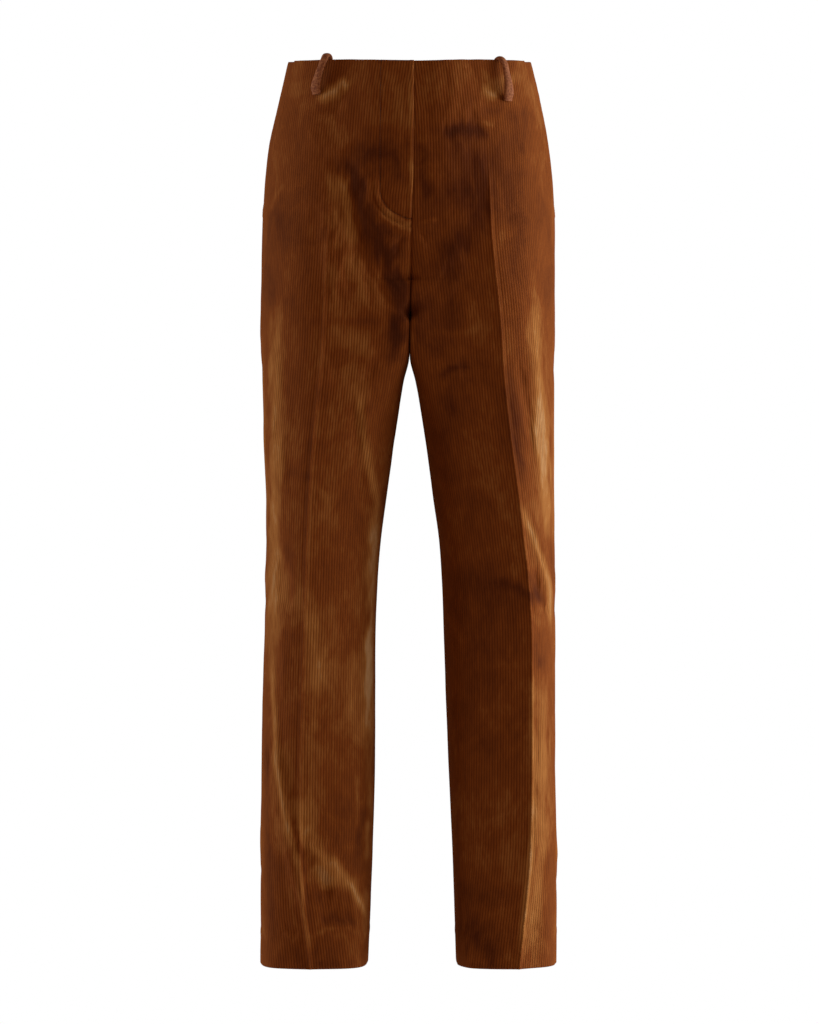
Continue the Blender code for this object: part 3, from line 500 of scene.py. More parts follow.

# Painted light above zero and painted shade below it, partly where the pile itself lies lighter or darker.
# A stroke of 1 moves its colour by one of its shades. The front's strokes are in pixels, and those of the
# other faces are in metres, as folds are.
FRONT_PAINTED_LIGHT_STROKES = (
    # Waist and hips
    PaintedLightStroke(-1.15, 10, ((325, 161), (350, 171), (361, 205), (375, 241), (392, 277), (405, 305))),
    PaintedLightStroke(-0.5, 10, ((381, 222), (389, 243), (397, 264))),
    PaintedLightStroke(0.35, 9, ((326, 176), (336, 184), (350, 190))),
    PaintedLightStroke(-0.45, 9, ((345, 150), (372, 150), (402, 156))),
    PaintedLightStroke(-1.0, 9, ((392, 272), (403, 305), (398, 330), (390, 352))),
    PaintedLightStroke(0.5, 8, ((350, 255), (362, 288), (372, 318))),
    PaintedLightStroke(0.4, 8, ((330, 160), (336, 190), (338, 218))),
    PaintedLightStroke(-0.35, 16, ((456, 175), (460, 230), (452, 290))),
    PaintedLightStroke(0.5, 2.2, ((489, 165), (491, 200), (494, 240))),
    PaintedLightStroke(-0.45, 22, ((505, 120), (509, 180), (513, 240))),
    PaintedLightStroke(-0.22, 22, ((540, 180), (541, 240), (540, 300))),
    PaintedLightStroke(-0.35, 6, ((480, 103), (490, 108), (502, 112))),
    PaintedLightStroke(-0.5, 3.5, ((399, 150), (399, 168), (400, 184))),
    PaintedLightStroke(0.5, 6, ((531, 68), (538, 95), (545, 125))),
    PaintedLightStroke(0.8, 2.2, ((409.5, 66), (410.5, 130), (411, 200))),
    PaintedLightStroke(-0.9, 6.5, ((442, 134), (460, 127), (480, 130), (489, 138))),
    PaintedLightStroke(-0.3, 16, ((436, 95), (437, 120), (434, 140))),
    PaintedLightStroke(-0.35, 14, ((430, 178), (432, 200), (428, 232))),
    PaintedLightStroke(-0.55, 8, ((472, 145), (482, 179), (477, 220), (462, 246), (434, 252))),
    PaintedLightStroke(-0.6, 4.5, ((419, 165), (424, 185), (429, 203))),
    PaintedLightStroke(0.95, 5, ((341, 176), (347, 200), (349, 225), (354, 250))),
    PaintedLightStroke(0.5, 6, ((336, 205), (338, 228), (341, 252))),
    PaintedLightStroke(0.4, 6, ((371, 178), (374, 200), (379, 216))),
    PaintedLightStroke(1.4, 6, ((318, 99), (334, 86), (352, 73))),
    PaintedLightStroke(0.35, 8, ((326, 112), (338, 128), (350, 146))),
    PaintedLightStroke(0.3, 6, ((401, 70), (402, 130), (402, 196))),
    PaintedLightStroke(0.35, 2.2, ((409, 222), (409, 260), (410, 290))),
    PaintedLightStroke(0.6, 3, ((411, 285), (411, 320), (411, 358))),
    PaintedLightStroke(-0.8, 9, ((400, 316), (398, 338), (394, 366))),
    PaintedLightStroke(-0.5, 5, ((416, 285), (417, 325), (420, 358))),
    PaintedLightStroke(0.25, 12, ((430, 308), (434, 345))),
    PaintedLightStroke(0.8, 4.6, ((382, 207), (390, 218), (401, 226), (415, 228))),
    PaintedLightStroke(-0.35, 3, ((380, 222), (390, 234), (403, 240), (412, 240))),
    PaintedLightStroke(0.5, 2, ((420, 224), (430, 222), (440, 221))),
    PaintedLightStroke(0.6, 6, ((477, 66), (498, 74), (516, 71), (526, 66))),
    PaintedLightStroke(0.8, 5, ((480, 86), (490, 87), (499, 88))),
    PaintedLightStroke(0.5, 7, ((488, 76), (494, 84), (499, 92))),
    PaintedLightStroke(0.5, 3, ((480, 119), (488, 121), (496, 123))),
    PaintedLightStroke(0.35, 3.5, ((495, 165), (503, 215), (500, 255))),
    PaintedLightStroke(-0.35, 10, ((280, 205), (284, 232), (286, 258))),
    PaintedLightStroke(-0.3, 4, ((322, 322), (350, 322), (385, 322))),
    PaintedLightStroke(0.3, 8, ((330, 260), (338, 300), (332, 350))),
    PaintedLightStroke(0.3, 4, ((428, 330), (455, 334), (490, 326))),
    PaintedLightStroke(0.5, 3, ((283, 182), (275, 196), (268, 210))),
    PaintedLightStroke(0.3, 16, ((350, 345), (368, 350))),
    PaintedLightStroke(-0.25, 16, ((296, 185), (298, 205))),
    PaintedLightStroke(-0.35, 16, ((464, 188), (466, 212))),
    PaintedLightStroke(-0.2, 10, ((267, 340), (267, 392))),
    PaintedLightStroke(-0.25, 16, ((514, 228), (520, 270), (540, 280))),
    PaintedLightStroke(0.25, 14, ((296, 72), (298, 92))),
    PaintedLightStroke(0.25, 12, ((496, 78), (490, 92))),
    PaintedLightStroke(-0.45, 22, ((394, 118), (394, 160), (388, 190))),
    PaintedLightStroke(-0.5, 16, ((419, 140), (419, 168))),
    PaintedLightStroke(-0.6, 20, ((460, 112), (466, 160), (466, 205))),
    PaintedLightStroke(-0.35, 24, ((462, 225), (440, 262), (424, 280))),
    PaintedLightStroke(-0.35, 22, ((279, 180), (276, 240), (274, 320))),
    PaintedLightStroke(-0.3, 16, ((320, 226), (322, 246))),
    PaintedLightStroke(0.3, 14, ((516, 146), (516, 172))),
    PaintedLightStroke(-0.35, 14, ((489, 140), (490, 190), (490, 240))),
    PaintedLightStroke(-0.4, 12, ((508, 104), (520, 112), (534, 118))),
    PaintedLightStroke(-0.4, 14, ((364, 152), (372, 166))),
    # The wearer's right leg
    PaintedLightStroke(1.15, 6, ((276, 290), (277, 350), (277, 450), (273, 520), (271, 600), (275, 650))),
    PaintedLightStroke(0.5, 5, ((275, 545), (280, 575), (281, 612))),
    PaintedLightStroke(-0.4, 6, ((290, 548), (292, 580), (292, 605))),
    PaintedLightStroke(0.4, 10, ((340, 366), (356, 376), (362, 410))),
    PaintedLightStroke(1.0, 3.4, ((358, 385), (362, 430), (367, 460), (374, 492), (380, 514))),
    PaintedLightStroke(0.7, 9, ((300, 580), (310, 620), (316, 665), (318, 705))),
    PaintedLightStroke(1.5, 6, ((378, 505), (374, 560), (371, 620), (369, 690), (367, 760))),
    PaintedLightStroke(0.6, 2.4, ((371, 780), (370, 810), (369, 840))),
    PaintedLightStroke(0.3, 2.2, ((323, 380), (316, 440), (310, 540), (308, 620))),
    PaintedLightStroke(0.5, 9, ((309, 685), (313, 765), (311, 838))),
    PaintedLightStroke(0.5, 10, ((284, 735), (289, 790), (297, 840))),
    PaintedLightStroke(0.45, 12, ((360, 640), (360, 700), (357, 760))),
    PaintedLightStroke(0.5, 2.6, ((357, 770), (357, 800), (358, 835))),
    PaintedLightStroke(1.0, 3, ((368, 822), (367, 866))),
    PaintedLightStroke(0.8, 2.4, ((367, 890), (366, 920), (364, 950))),
    PaintedLightStroke(-0.2, 20, ((318, 940), (338, 950), (356, 945))),
    PaintedLightStroke(-0.45, 2.2, (
        (318, 380), (311, 440), (305, 540), (303, 620), (300, 700), (296, 780), (296, 843),
    )),
    PaintedLightStroke(0.3, 2.4, ((303, 852), (307, 880), (310, 927), (314, 966))),
    PaintedLightStroke(1.1, 3, ((270, 640), (273, 697), (278, 760), (283, 800), (286, 819), (293, 841))),
    PaintedLightStroke(0.7, 2.6, ((293, 841), (301, 875), (304, 909), (308, 940), (310, 966))),
    PaintedLightStroke(-1.0, 3, ((289, 800), (292, 819), (298, 841), (304.5, 875), (307.5, 909), (312, 948))),
    PaintedLightStroke(0.55, 5, ((287, 825), (294, 848), (299, 870))),
    PaintedLightStroke(0.5, 12, ((303, 826), (315, 838), (326, 850))),
    PaintedLightStroke(0.5, 12, ((300, 795), (300, 842))),
    PaintedLightStroke(0.8, 13, ((316, 864), (326, 894))),
    PaintedLightStroke(0.3, 12, ((297, 822), (299, 852))),
    PaintedLightStroke(-0.3, 16, ((345, 792), (347, 850))),
    PaintedLightStroke(0.3, 14, ((322, 405), (322, 442))),
    PaintedLightStroke(0.5, 7, ((377, 498), (373, 548))),
    PaintedLightStroke(0.35, 5, ((369, 640), (368, 690))),
    PaintedLightStroke(0.35, 5, ((368, 755), (368, 790))),
    PaintedLightStroke(0.4, 14, ((318, 600), (323, 650), (322, 700))),
    PaintedLightStroke(-0.4, 16, ((272, 958), (300, 962), (325, 957), (345, 957))),
    PaintedLightStroke(0.35, 10, ((268, 560), (272, 610), (272, 660))),
    PaintedLightStroke(-0.45, 8, ((338, 850), (352, 866), (363, 882))),
    PaintedLightStroke(-0.45, 4, ((265, 715), (267, 820), (271, 958))),
    PaintedLightStroke(0.65, 5, ((300, 842), (322, 856), (336, 868), (348, 884), (358, 901), (366, 920))),
    PaintedLightStroke(0.8, 2.8, ((346, 882), (354, 895), (361, 909), (365, 922))),
    PaintedLightStroke(0.45, 12, ((308, 862), (324, 874), (340, 892))),
    PaintedLightStroke(-0.7, 6, ((363, 805), (362, 835), (357, 868))),
    PaintedLightStroke(-0.5, 5, ((306, 865), (314, 885), (320, 908))),
    PaintedLightStroke(-0.8, 8, ((318, 924), (340, 921), (358, 925))),
    PaintedLightStroke(0.45, 2.6, ((310, 939), (324, 931), (342, 928), (354, 931))),
    PaintedLightStroke(-0.4, 3, ((312, 964), (335, 966), (360, 964))),
    PaintedLightStroke(-0.35, 5, ((284, 470), (300, 476), (318, 474))),
    PaintedLightStroke(0.3, 7, ((318, 480), (330, 500), (335, 540))),
    # The wearer's left leg, and a few more beside the fly and the crotch
    PaintedLightStroke(-0.75, 4, ((438, 380), (452, 369), (474, 366))),
    PaintedLightStroke(-0.4, 9, ((440, 388), (448, 402), (452, 425))),
    PaintedLightStroke(-0.3, 20, ((462, 392), (468, 430))),
    PaintedLightStroke(-0.25, 18, ((466, 485), (466, 512))),
    PaintedLightStroke(0.35, 12, ((512, 562), (516, 590))),
    PaintedLightStroke(-0.35, 16, ((488, 948), (494, 962))),
    PaintedLightStroke(-0.3, 16, ((490, 668), (490, 710))),
    PaintedLightStroke(0.25, 12, ((542, 735), (541, 785))),
    PaintedLightStroke(-0.2, 12, ((543, 650), (543, 700))),
    PaintedLightStroke(-0.38, 26, ((474, 555), (480, 620), (484, 700))),
    PaintedLightStroke(-0.35, 24, ((480, 865), (484, 910), (488, 955))),
    PaintedLightStroke(0.4, 10, ((540, 380), (543, 450), (545, 530))),
    PaintedLightStroke(-0.45, 16, ((440, 420), (446, 455), (450, 490))),
    PaintedLightStroke(1.05, 5.5, ((533, 285), (536, 345), (539, 400), (544, 450), (547, 495))),
    PaintedLightStroke(-0.6, 5, ((506, 350), (514, 415), (522, 492))),
    PaintedLightStroke(-0.3, 7, ((519, 400), (524, 440), (528, 490))),
    PaintedLightStroke(0.7, 7, ((548, 455), (549, 500), (551, 548))),
    PaintedLightStroke(-0.8, 6, ((529, 566), (536, 588), (541, 610))),
    PaintedLightStroke(-0.3, 14, ((445, 388), (470, 382), (500, 374))),
    PaintedLightStroke(1.25, 3.2, ((519, 500), (527, 522), (537, 548), (545, 570), (550, 593), (553, 634))),
    PaintedLightStroke(-0.75, 6, ((492, 580), (518, 588), (539, 598), (549, 607))),
    PaintedLightStroke(-0.4, 16, ((452, 568), (485, 590), (520, 615))),
    PaintedLightStroke(0.25, 8, ((468, 480), (485, 488), (505, 492))),
    PaintedLightStroke(0.9, 2.6, ((533.5, 672), (532, 720), (533, 770))),
    PaintedLightStroke(1.1, 3.2, ((533, 770), (533, 810), (530, 860), (526, 905), (521, 945), (518, 965))),
    PaintedLightStroke(0.75, 6, ((546, 655), (543, 720), (542, 800), (538, 903), (530, 960))),
    PaintedLightStroke(-0.5, 4, ((533, 640), (538, 655), (541, 672))),
    PaintedLightStroke(-0.3, 20, ((450, 690), (480, 730), (510, 775))),
    PaintedLightStroke(0.3, 10, ((498, 780), (507, 830), (512, 893))),
    PaintedLightStroke(-0.45, 10, ((460, 920), (478, 945), (500, 962))),
    PaintedLightStroke(-0.35, 12, ((462, 880), (470, 915), (480, 945))),
    PaintedLightStroke(-0.6, 13, ((422, 290), (430, 330), (438, 365))),
    PaintedLightStroke(-0.5, 16, ((442, 250), (447, 300), (440, 350))),
    PaintedLightStroke(0.4, 10, ((345, 335), (360, 345), (372, 352))),
    PaintedLightStroke(-0.5, 8, ((392, 245), (400, 264))),
    PaintedLightStroke(-0.3, 18, ((470, 940), (490, 945), (505, 940))),
    PaintedLightStroke(0.35, 7, ((531, 905), (533, 935), (528, 962))),
    PaintedLightStroke(0.3, 6, ((462, 905), (490, 915), (515, 912))),
    PaintedLightStroke(-0.4, 3, ((462, 966), (485, 968), (510, 966))),
)
NAP_AND_PAINTED_LIGHT = {
    Face.FRONT: tuple(stroke.on_cloth() for stroke in FRONT_PAINTED_LIGHT_STROKES),
    Face.BACK: (
        Fold(-0.8, 0.01, ((-0.020, 0.250), (-0.050, 0.282), (-0.090, 0.306))),
        Fold(-0.7, 0.01, ((0.022, 0.256), (0.054, 0.286), (0.094, 0.304))),
        Fold(0.5, 0.006, ((-0.030, 0.240), (-0.066, 0.268), (-0.104, 0.284))),
        Fold(0.5, 0.006, ((0.030, 0.244), (0.066, 0.272), (0.108, 0.284))),
        Fold(-0.5, 0.01, ((-0.040, 0.330), (-0.070, 0.340), (-0.110, 0.336))),
        Fold(0.4, 0.012, ((-0.094, 0.080), (-0.090, 0.140), (-0.096, 0.200))),
        Fold(0.4, 0.012, ((0.092, 0.086), (0.096, 0.150), (0.090, 0.210))),
        Fold(-0.4, 0.016, ((-0.040, 0.110), (-0.044, 0.150), (-0.036, 0.190))),
        Fold(-0.4, 0.016, ((0.042, 0.120), (0.048, 0.160), (0.038, 0.200))),
        Fold(-0.7, 0.008, ((-0.064, 0.588), (-0.098, 0.602), (-0.140, 0.602))),
        Fold(0.5, 0.005, ((-0.062, 0.568), (-0.100, 0.580), (-0.144, 0.574))),
        Fold(-0.6, 0.008, ((0.068, 0.598), (0.104, 0.606), (0.144, 0.594))),
        Fold(0.5, 0.005, ((0.066, 0.574), (0.104, 0.584), (0.148, 0.566))),
        Fold(0.6, 0.004, ((-0.125, 0.640), (-0.128, 0.760), (-0.128, 0.900), (-0.118, 1.030))),
        Fold(0.6, 0.004, ((0.138, 0.640), (0.142, 0.760), (0.141, 0.900), (0.130, 1.030))),
        Fold(0.6, 0.007, ((-0.064, 0.936), (-0.096, 0.954), (-0.140, 0.950))),
        Fold(-0.6, 0.007, ((-0.066, 0.972), (-0.098, 0.988), (-0.132, 0.986))),
        Fold(0.6, 0.007, ((0.074, 0.928), (0.106, 0.946), (0.144, 0.958))),
        Fold(-0.5, 0.007, ((0.076, 0.964), (0.106, 0.984), (0.142, 0.992))),
        Fold(0.3, 0.018, ((-0.080, 0.420), (-0.090, 0.480), (-0.084, 0.540))),
        Fold(0.3, 0.018, ((0.086, 0.430), (0.094, 0.490), (0.088, 0.545))),
    ),
    Face.RIGHT: (
        Fold(0.5, 0.01, ((-0.030, 0.330), (-0.024, 0.430), (-0.030, 0.560))),
        Fold(-0.5, 0.008, ((-0.034, 0.348), (0.004, 0.364), (0.036, 0.352))),
        Fold(-0.6, 0.008, ((-0.030, 0.628), (0.004, 0.642), (0.036, 0.632))),
        Fold(0.5, 0.006, ((0.032, 0.880), (-0.006, 0.912), (-0.036, 0.926))),
        Fold(0.4, 0.012, ((0.010, 0.690), (0.016, 0.770), (0.008, 0.850))),
    ),
    Face.LEFT: (
        Fold(0.5, 0.01, ((-0.020, 0.380), (-0.014, 0.470), (-0.022, 0.560))),
        Fold(-0.5, 0.008, ((-0.030, 0.352), (0.008, 0.368), (0.038, 0.348))),
        Fold(-0.6, 0.008, ((-0.032, 0.637), (0.004, 0.648), (0.034, 0.624))),
        Fold(0.5, 0.006, ((0.034, 0.900), (0.000, 0.922), (-0.034, 0.930))),
        Fold(0.4, 0.012, ((0.012, 0.700), (0.018, 0.780), (0.010, 0.860))),
    ),
}

# The rows of points: each stretch's lower end and how many rows it takes.
ROWS = (
    (0.130, 32),
    (0.235, 46),
    (0.290, 22),
    (CROTCH_DROP, 9),
    (0.335, 10),
    (OUTSEAM - HEM_DEPTH - 0.0010, 162),
    (OUTSEAM - HEM_DEPTH, 1),
    (OUTSEAM, 11),
)


def read(table: Sequence[Any], column: str, drop: Any) -> Any:
    """Reads one column of a table at the given drops.

    Args:
        table: Rows with a drop, in rising order.
        column: The field to read.
        drop: A level, or an array of levels.

    Returns:
        The column's values, along smooth curves that never overshoot the rows.
    """
    at = np.array([row.drop for row in table])
    value = np.array([getattr(row, column) for row in table], float)
    rise = np.diff(value) / np.diff(at)
    slope = np.concatenate(([rise[0]], (rise[:-1] + rise[1:]) / 2, [rise[-1]]))
    turns = np.concatenate(([False], rise[:-1] * rise[1:] <= 0, [False]))
    slope[turns] = 0.0
    least = np.minimum(np.abs(np.append(rise, rise[-1])), np.abs(np.insert(rise, 0, rise[0])))
    slope = np.sign(slope) * np.minimum(np.abs(slope), 3 * least)
    drop = np.clip(drop, at[0], at[-1])
    i = np.clip(np.searchsorted(at, drop, side="right") - 1, 0, len(at) - 2)
    step = at[i + 1] - at[i]
    t = (drop - at[i]) / step
    return (
        (1 + 2 * t) * (1 - t) ** 2 * value[i]
        + t * (1 - t) ** 2 * step * slope[i]
        + t**2 * (3 - 2 * t) * value[i + 1]
        + t**2 * (t - 1) * step * slope[i + 1]
    )


def bezier(ends: Sequence[Array]) -> Array:
    """Points of the cubic curve with these start, handles and end."""
    start, start_handle, end_handle, end = ends
    t = np.linspace(0, 1, 2 * CURVE_STEPS + 1)[:, None]
    early, late = 3 * (1 - t) ** 2 * t * start_handle, 3 * (1 - t) * t**2 * end_handle
    return (1 - t) ** 3 * start + early + late + t**3 * end


def evenly(line: Array, steps: int = CURVE_STEPS) -> Array:
    """The same line with equal steps."""
    run = np.concatenate(([0.0], np.cumsum(np.linalg.norm(np.diff(line, axis=0), axis=1))))
    at = np.linspace(0, run[-1], steps + 1)
    return np.stack([np.interp(at, run, line[:, k]) for k in range(line.shape[1])], axis=-1)


def through(points: Array, steps: int) -> Array:
    """A smooth line through a few points.

    Args:
        points: The points, one a row.
        steps: How many steps lie between two neighbouring points.

    Returns:
        The line's points, with the given ones among them.
    """
    padded = np.concatenate((2 * points[:1] - points[1:2], points, 2 * points[-1:] - points[-2:-1]))
    line = []
    for i in range(1, len(padded) - 2):
        p0, p1, p2, p3 = padded[i - 1 : i + 3]
        for t in np.arange(steps) / steps:
            bend, twist = 2 * p0 - 5 * p1 + 4 * p2 - p3, 3 * p1 - p0 - 3 * p2 + p3
            line.append(0.5 * (2 * p1 + (p2 - p0) * t + bend * t**2 + twist * t**3))
    line.append(points[-1])
    return np.array(line)


def quarter_pair(
    seam: Array,
    corner: float,
    crease: Array,
    side: Array,
    facing: int,
    fullness: Sequence[float],
    angles: Sequence[float],
    least_reach: float,
) -> Array:
    """The two curves of a section from a centre seam over a crease to the side.

    Args:
        seam: The seam's place, as (out, y).
        corner: How far forward or back the cloth runs flat along the middle before it curves out.
        crease: The crease's place.
        side: The side seam's place.
        facing: -1 for the front, +1 for the back.
        fullness: That of the first curve and of the second.
        angles: Those at which the first leaves the seam and reaches the crease, and the second leaves.
        least_reach: The least that the first reaches out at its start, as a share of its width.

    Returns:
        The points of both curves.
    """
    leaving, arriving, parting = angles
    full, full_side = fullness
    start = seam
    if facing * corner > facing * seam[1]:
        start = np.array([seam[0], corner])
        leaving = np.pi / 2
    gap = np.abs(crease - start)
    leave = np.array([np.cos(leaving), facing * np.sin(leaving)])
    to_meeting = gap[1] / max(np.sin(leaving), 1e-6)
    reach = max(min(gap[0] * leave[0] + gap[1] * abs(leave[1]), to_meeting), least_reach * gap[0])
    climb = np.array([np.cos(arriving), -facing * np.sin(arriving)])
    back = gap[0] - reach * leave[0] * leave[1] ** 2
    inner = bezier((start, start + full * reach * leave, crease - full * back * climb, crease))
    if start is not seam:
        inner = np.concatenate((seam[None], inner))
    span = np.abs(side - crease)
    fall = np.array([np.cos(parting), -facing * np.sin(parting)])
    level_side = side + np.array([0.0, facing * full_side * span[1]])
    outer = bezier((crease, crease + full_side * span[0] * fall, level_side, side))
    return np.concatenate((evenly(inner)[:-1], evenly(outer)))


def seam_turns(drops: Array, column: str) -> Array:
    """The angles at which sections leave a centre seam that folds in by fold_deg."""
    lean = np.gradient(read(SEAMS, column, drops), drops)
    upright = 1 / np.sqrt(1 + lean**2)
    turn = np.arctan2(np.tan(np.radians(read(SEAMS, "fold_deg", drops))), upright)
    return np.where(drops < CROTCH_DROP - SAME_LEVEL, turn, np.pi / 2)


def fold_heights(across: Array, drop: Array, folds: Sequence[Fold], wander: Sequence[Array]) -> Array:
    """How far the folds push the cloth out.

    Args:
        across: The distance across of each point of a grid of rows.
        drop: The level of each row.
        folds: The folds to add up.
        wander: How far across and down broad folds stray from their paths at each point.

    Returns:
        The push at each point.
    """
    total = np.zeros_like(across)
    for fold in folds:
        path = through(np.array(fold.path), 3)
        reach = FOLD_REACH * fold.width
        rows = (drop > path[:, 1].min() - reach) & (drop < path[:, 1].max() + reach)
        if not rows.any():
            continue
        stray = min(max((fold.width - NARROW) / BROADER, 0), 1)
        x, d = across[rows] + stray * wander[0][rows], drop[rows][:, None] + stray * wander[1][rows]
        lengths = np.linalg.norm(np.diff(path, axis=0), axis=1)
        gone = np.concatenate(([0.0], np.cumsum(lengths))) / lengths.sum()
        nearest = np.full_like(x, np.inf)
        along = np.zeros_like(x)
        for i in range(len(path) - 1):
            run = path[i + 1] - path[i]
            t = np.clip(((x - path[i, 0]) * run[0] + (d - path[i, 1]) * run[1]) / (run @ run), 0, 1)
            away = np.hypot(x - path[i, 0] - t * run[0], d - path[i, 1] - t * run[1])
            closer = away < nearest
            along = np.where(closer, gone[i] + t * (gone[i + 1] - gone[i]), along)
            nearest = np.where(closer, away, nearest)
        ends = np.clip(np.minimum(along, 1 - along) * FOLD_TAPER + FOLD_END, 0, 1)
        ends = ends * ends * (3 - 2 * ends)
        total[rows] += fold.height * ends * np.exp(-((nearest / fold.width) ** 2))
    return total


@dataclass
class HalfForm:
    """The outer face of one half: level sections from the front seam round to the back seam.

    Args:
        side: Which half it is.
        rows: The half's own table.
        drops: The levels of the sections.
        points: Their points, a row for each section.
        out: The unit normals there.
        run: The distances along each section.
        nap_and_painted_light: The painted light and shade on the pile's colour, partly the way the pile lies.
    """

    side: Side
    rows: Sequence[Half]
    drops: Array
    points: Array = field(init=False)
    out: Array = field(init=False)
    run: Array = field(init=False)
    nap_and_painted_light: Array = field(init=False)

    def __post_init__(self) -> None:
        """Works out the sections, pushes the folds in and measures along them."""
        self.points = self.soft_crotch(self.place(self.sections()))
        push = self.normals(self.points)
        faces = {
            Face.FRONT: (self.points[..., 0], np.clip(-FACE_FADE * push[..., 1], 0, 1)),
            Face.BACK: (self.points[..., 0], np.clip(FACE_FADE * push[..., 1], 0, 1)),
            Face[self.side.name]: (
                self.points[..., 1],
                np.clip(OUTSIDE_FADE * self.side.value * push[..., 0] - OUTSIDE_START, 0, 1),
            ),
        }
        height = self.waves(SWELL_SEED, SWELL_HEIGHT, SWELL_LENGTH)
        wander = [self.waves(seed, WANDER, WANDER_LENGTH) for seed in WANDER_SEEDS]
        # Light and shade painted into the pile's colour, partly the way it lies, spread as the folds are.
        self.nap_and_painted_light = np.zeros_like(height)
        for face, (across, share) in faces.items():
            height += fold_heights(across, self.drops, FOLDS[face], wander) * share
            self.nap_and_painted_light += fold_heights(across, self.drops, NAP_AND_PAINTED_LIGHT[face], wander) * share
        columns = np.arange(height.shape[1])
        height *= np.clip(np.minimum(columns, columns[::-1]) / FLAT_COLUMNS, 0, 1)
        self.points += push * height[..., None]
        self.out = self.normals(self.points)
        steps = np.linalg.norm(np.diff(self.points, axis=1), axis=2)
        self.run = np.concatenate((np.zeros((len(self.drops), 1)), np.cumsum(steps, axis=1)), axis=1)

    @property
    def crease_front(self) -> Array:
        """How far along each section its front crease lies."""
        return self.run[:, CURVE_STEPS]

    @property
    def side_seam(self) -> Array:
        """How far along each section its side seam lies."""
        return self.run[:, 2 * CURVE_STEPS]

    @property
    def crease_back(self) -> Array:
        """How far along each section its back crease lies."""
        return self.run[:, 3 * CURVE_STEPS]

    def sections(self) -> Array:
        """The level sections, as rows of (out, y)."""
        drops = self.drops
        full_side = read(CREASES, "full", drops)
        full = {"front": read(SEAMS, "front_full", drops), "back": read(SEAMS, "full", drops)}
        reach = {"front": read(SEAMS, "front_reach", drops), "back": np.full(len(drops), BACK_REACH)}
        fall = {face: np.radians(read(CREASES, f"{face}_deg", drops)) for face in ("front", "back")}
        turn = {face: seam_turns(drops, face) for face in ("front", "back")}
        before = np.radians(read(self.rows, "in_deg", drops))
        after = np.radians(read(self.rows, "out_deg", drops))
        inner, outer = read(self.rows, "inner", drops), read(self.rows, "outer", drops)
        crease_out = read(self.rows, "crease", drops)
        rings = []
        for i in range(len(drops)):
            side = np.array([outer[i], SIDE_SEAM_Y])
            halves = []
            for face, facing in (("front", -1), ("back", 1)):
                seam = np.array([inner[i], read(SEAMS, face, drops[i])])
                corner = float(read(SEAMS, f"{face}_corner", drops[i]))
                crease = np.array([crease_out[i], read(CREASES, face, drops[i])])
                last = after[i] if face == "front" else before[i]
                angles = (turn[face][i], fall[face][i] - before[i], fall[face][i] + last)
                fullness = full[face][i], full_side[i]
                sizes = fullness, angles, reach[face][i]
                halves.append(quarter_pair(seam, corner, crease, side, facing, *sizes))
            rings.append(np.concatenate((halves[0], halves[1][-2::-1])))
        return np.array(rings)

    def place(self, rings: Array) -> Array:
        """The sections in space, with the waist tilted down at the front and the fly off centre."""
        out, y = rings[..., 0], rings[..., 1]
        drop = self.drops[:, None]
        is_front = np.clip(-y / SHIFT_FRONT_DEPTH, 0, 1)
        near_middle = np.clip(1 - out / SHIFT_REACH, 0, 1)
        shift = CENTRE_FRONT_SHIFT + (FLY_SHIFT - CENTRE_FRONT_SHIFT) * np.clip(
            1 - drop / CROTCH_DROP, 0, 1
        )
        above_legs = np.clip((CROTCH_DROP + SHIFT_BELOW_CROTCH - drop) / SHIFT_FADE, 0, 1)
        x = self.side.value * out + shift * is_front * near_middle * above_legs
        tilt = WAIST_TILT * y * np.clip(1 - drop / WAIST_TILT_FADE, 0, 1)
        dip = FLY_DIP * np.exp(-((out / FLY_DIP_REACH) ** 2)) * np.clip(1 - drop / FLY_DIP_FADE, 0, 1)
        return np.stack((x, y, tilt - dip * is_front - drop), axis=-1)

    def soft_crotch(self, points: Array) -> Array:
        """Evens out the sections' change of shape at the crotch, away from the seams themselves."""
        seam_columns, fade_columns = 2, 14
        share_of_gap, least_reach = 0.4, 0.0005
        columns = np.arange(points.shape[1])
        share = np.clip((np.minimum(columns, columns[::-1]) - seam_columns) / fade_columns, 0, 1)[:, None]
        step = np.gradient(self.drops)
        soft = points.copy()
        for i in np.flatnonzero(np.abs(self.drops - CROTCH_DROP) < CROTCH_SOFT):
            reach = share_of_gap * (CROTCH_SOFT - abs(self.drops[i] - CROTCH_DROP)) + least_reach
            weight = step * np.exp(-(((self.drops - self.drops[i]) / reach) ** 2))
            even = np.tensordot(weight / weight.sum(), points[..., :2], axes=(0, 0))
            soft[i, :, :2] += share * (even - points[i, :, :2])
        return soft

    def normals(self, points: Array) -> Array:
        """Unit normals out of the cloth, from the slopes along and across the sections."""
        normal = np.cross(np.gradient(points, axis=0), np.gradient(points, axis=1)) * self.side.value
        return normal / np.linalg.norm(normal, axis=2, keepdims=True)

    def waves(self, seed: int, height: float, lengths: tuple[float, float]) -> Array:
        """A few crossing waves over the cloth, such as its slow swell.

        Args:
            seed: Sets their lengths, slants and phases.
            height: The height of one wave.
            lengths: The shortest and the longest wave.

        Returns:
            Their sum at each point.
        """
        rng = np.random.default_rng(seed + self.side.value)
        along = np.linspace(0, WAVE_RUN, self.points.shape[1])[None, :]
        down = self.drops[:, None]
        total = np.zeros(self.points.shape[:2])
        for _ in range(WAVES):
            length = rng.uniform(*lengths)
            angle = rng.normal(0.0, WAVE_SLANT)
            phase = 2 * np.pi * (rng.uniform() + (along * np.cos(angle) + down * np.sin(angle)) / length)
            total += height * np.sin(phase) * np.sin(WAVE_BEAT * down / length + rng.uniform(0, 6))
        return total

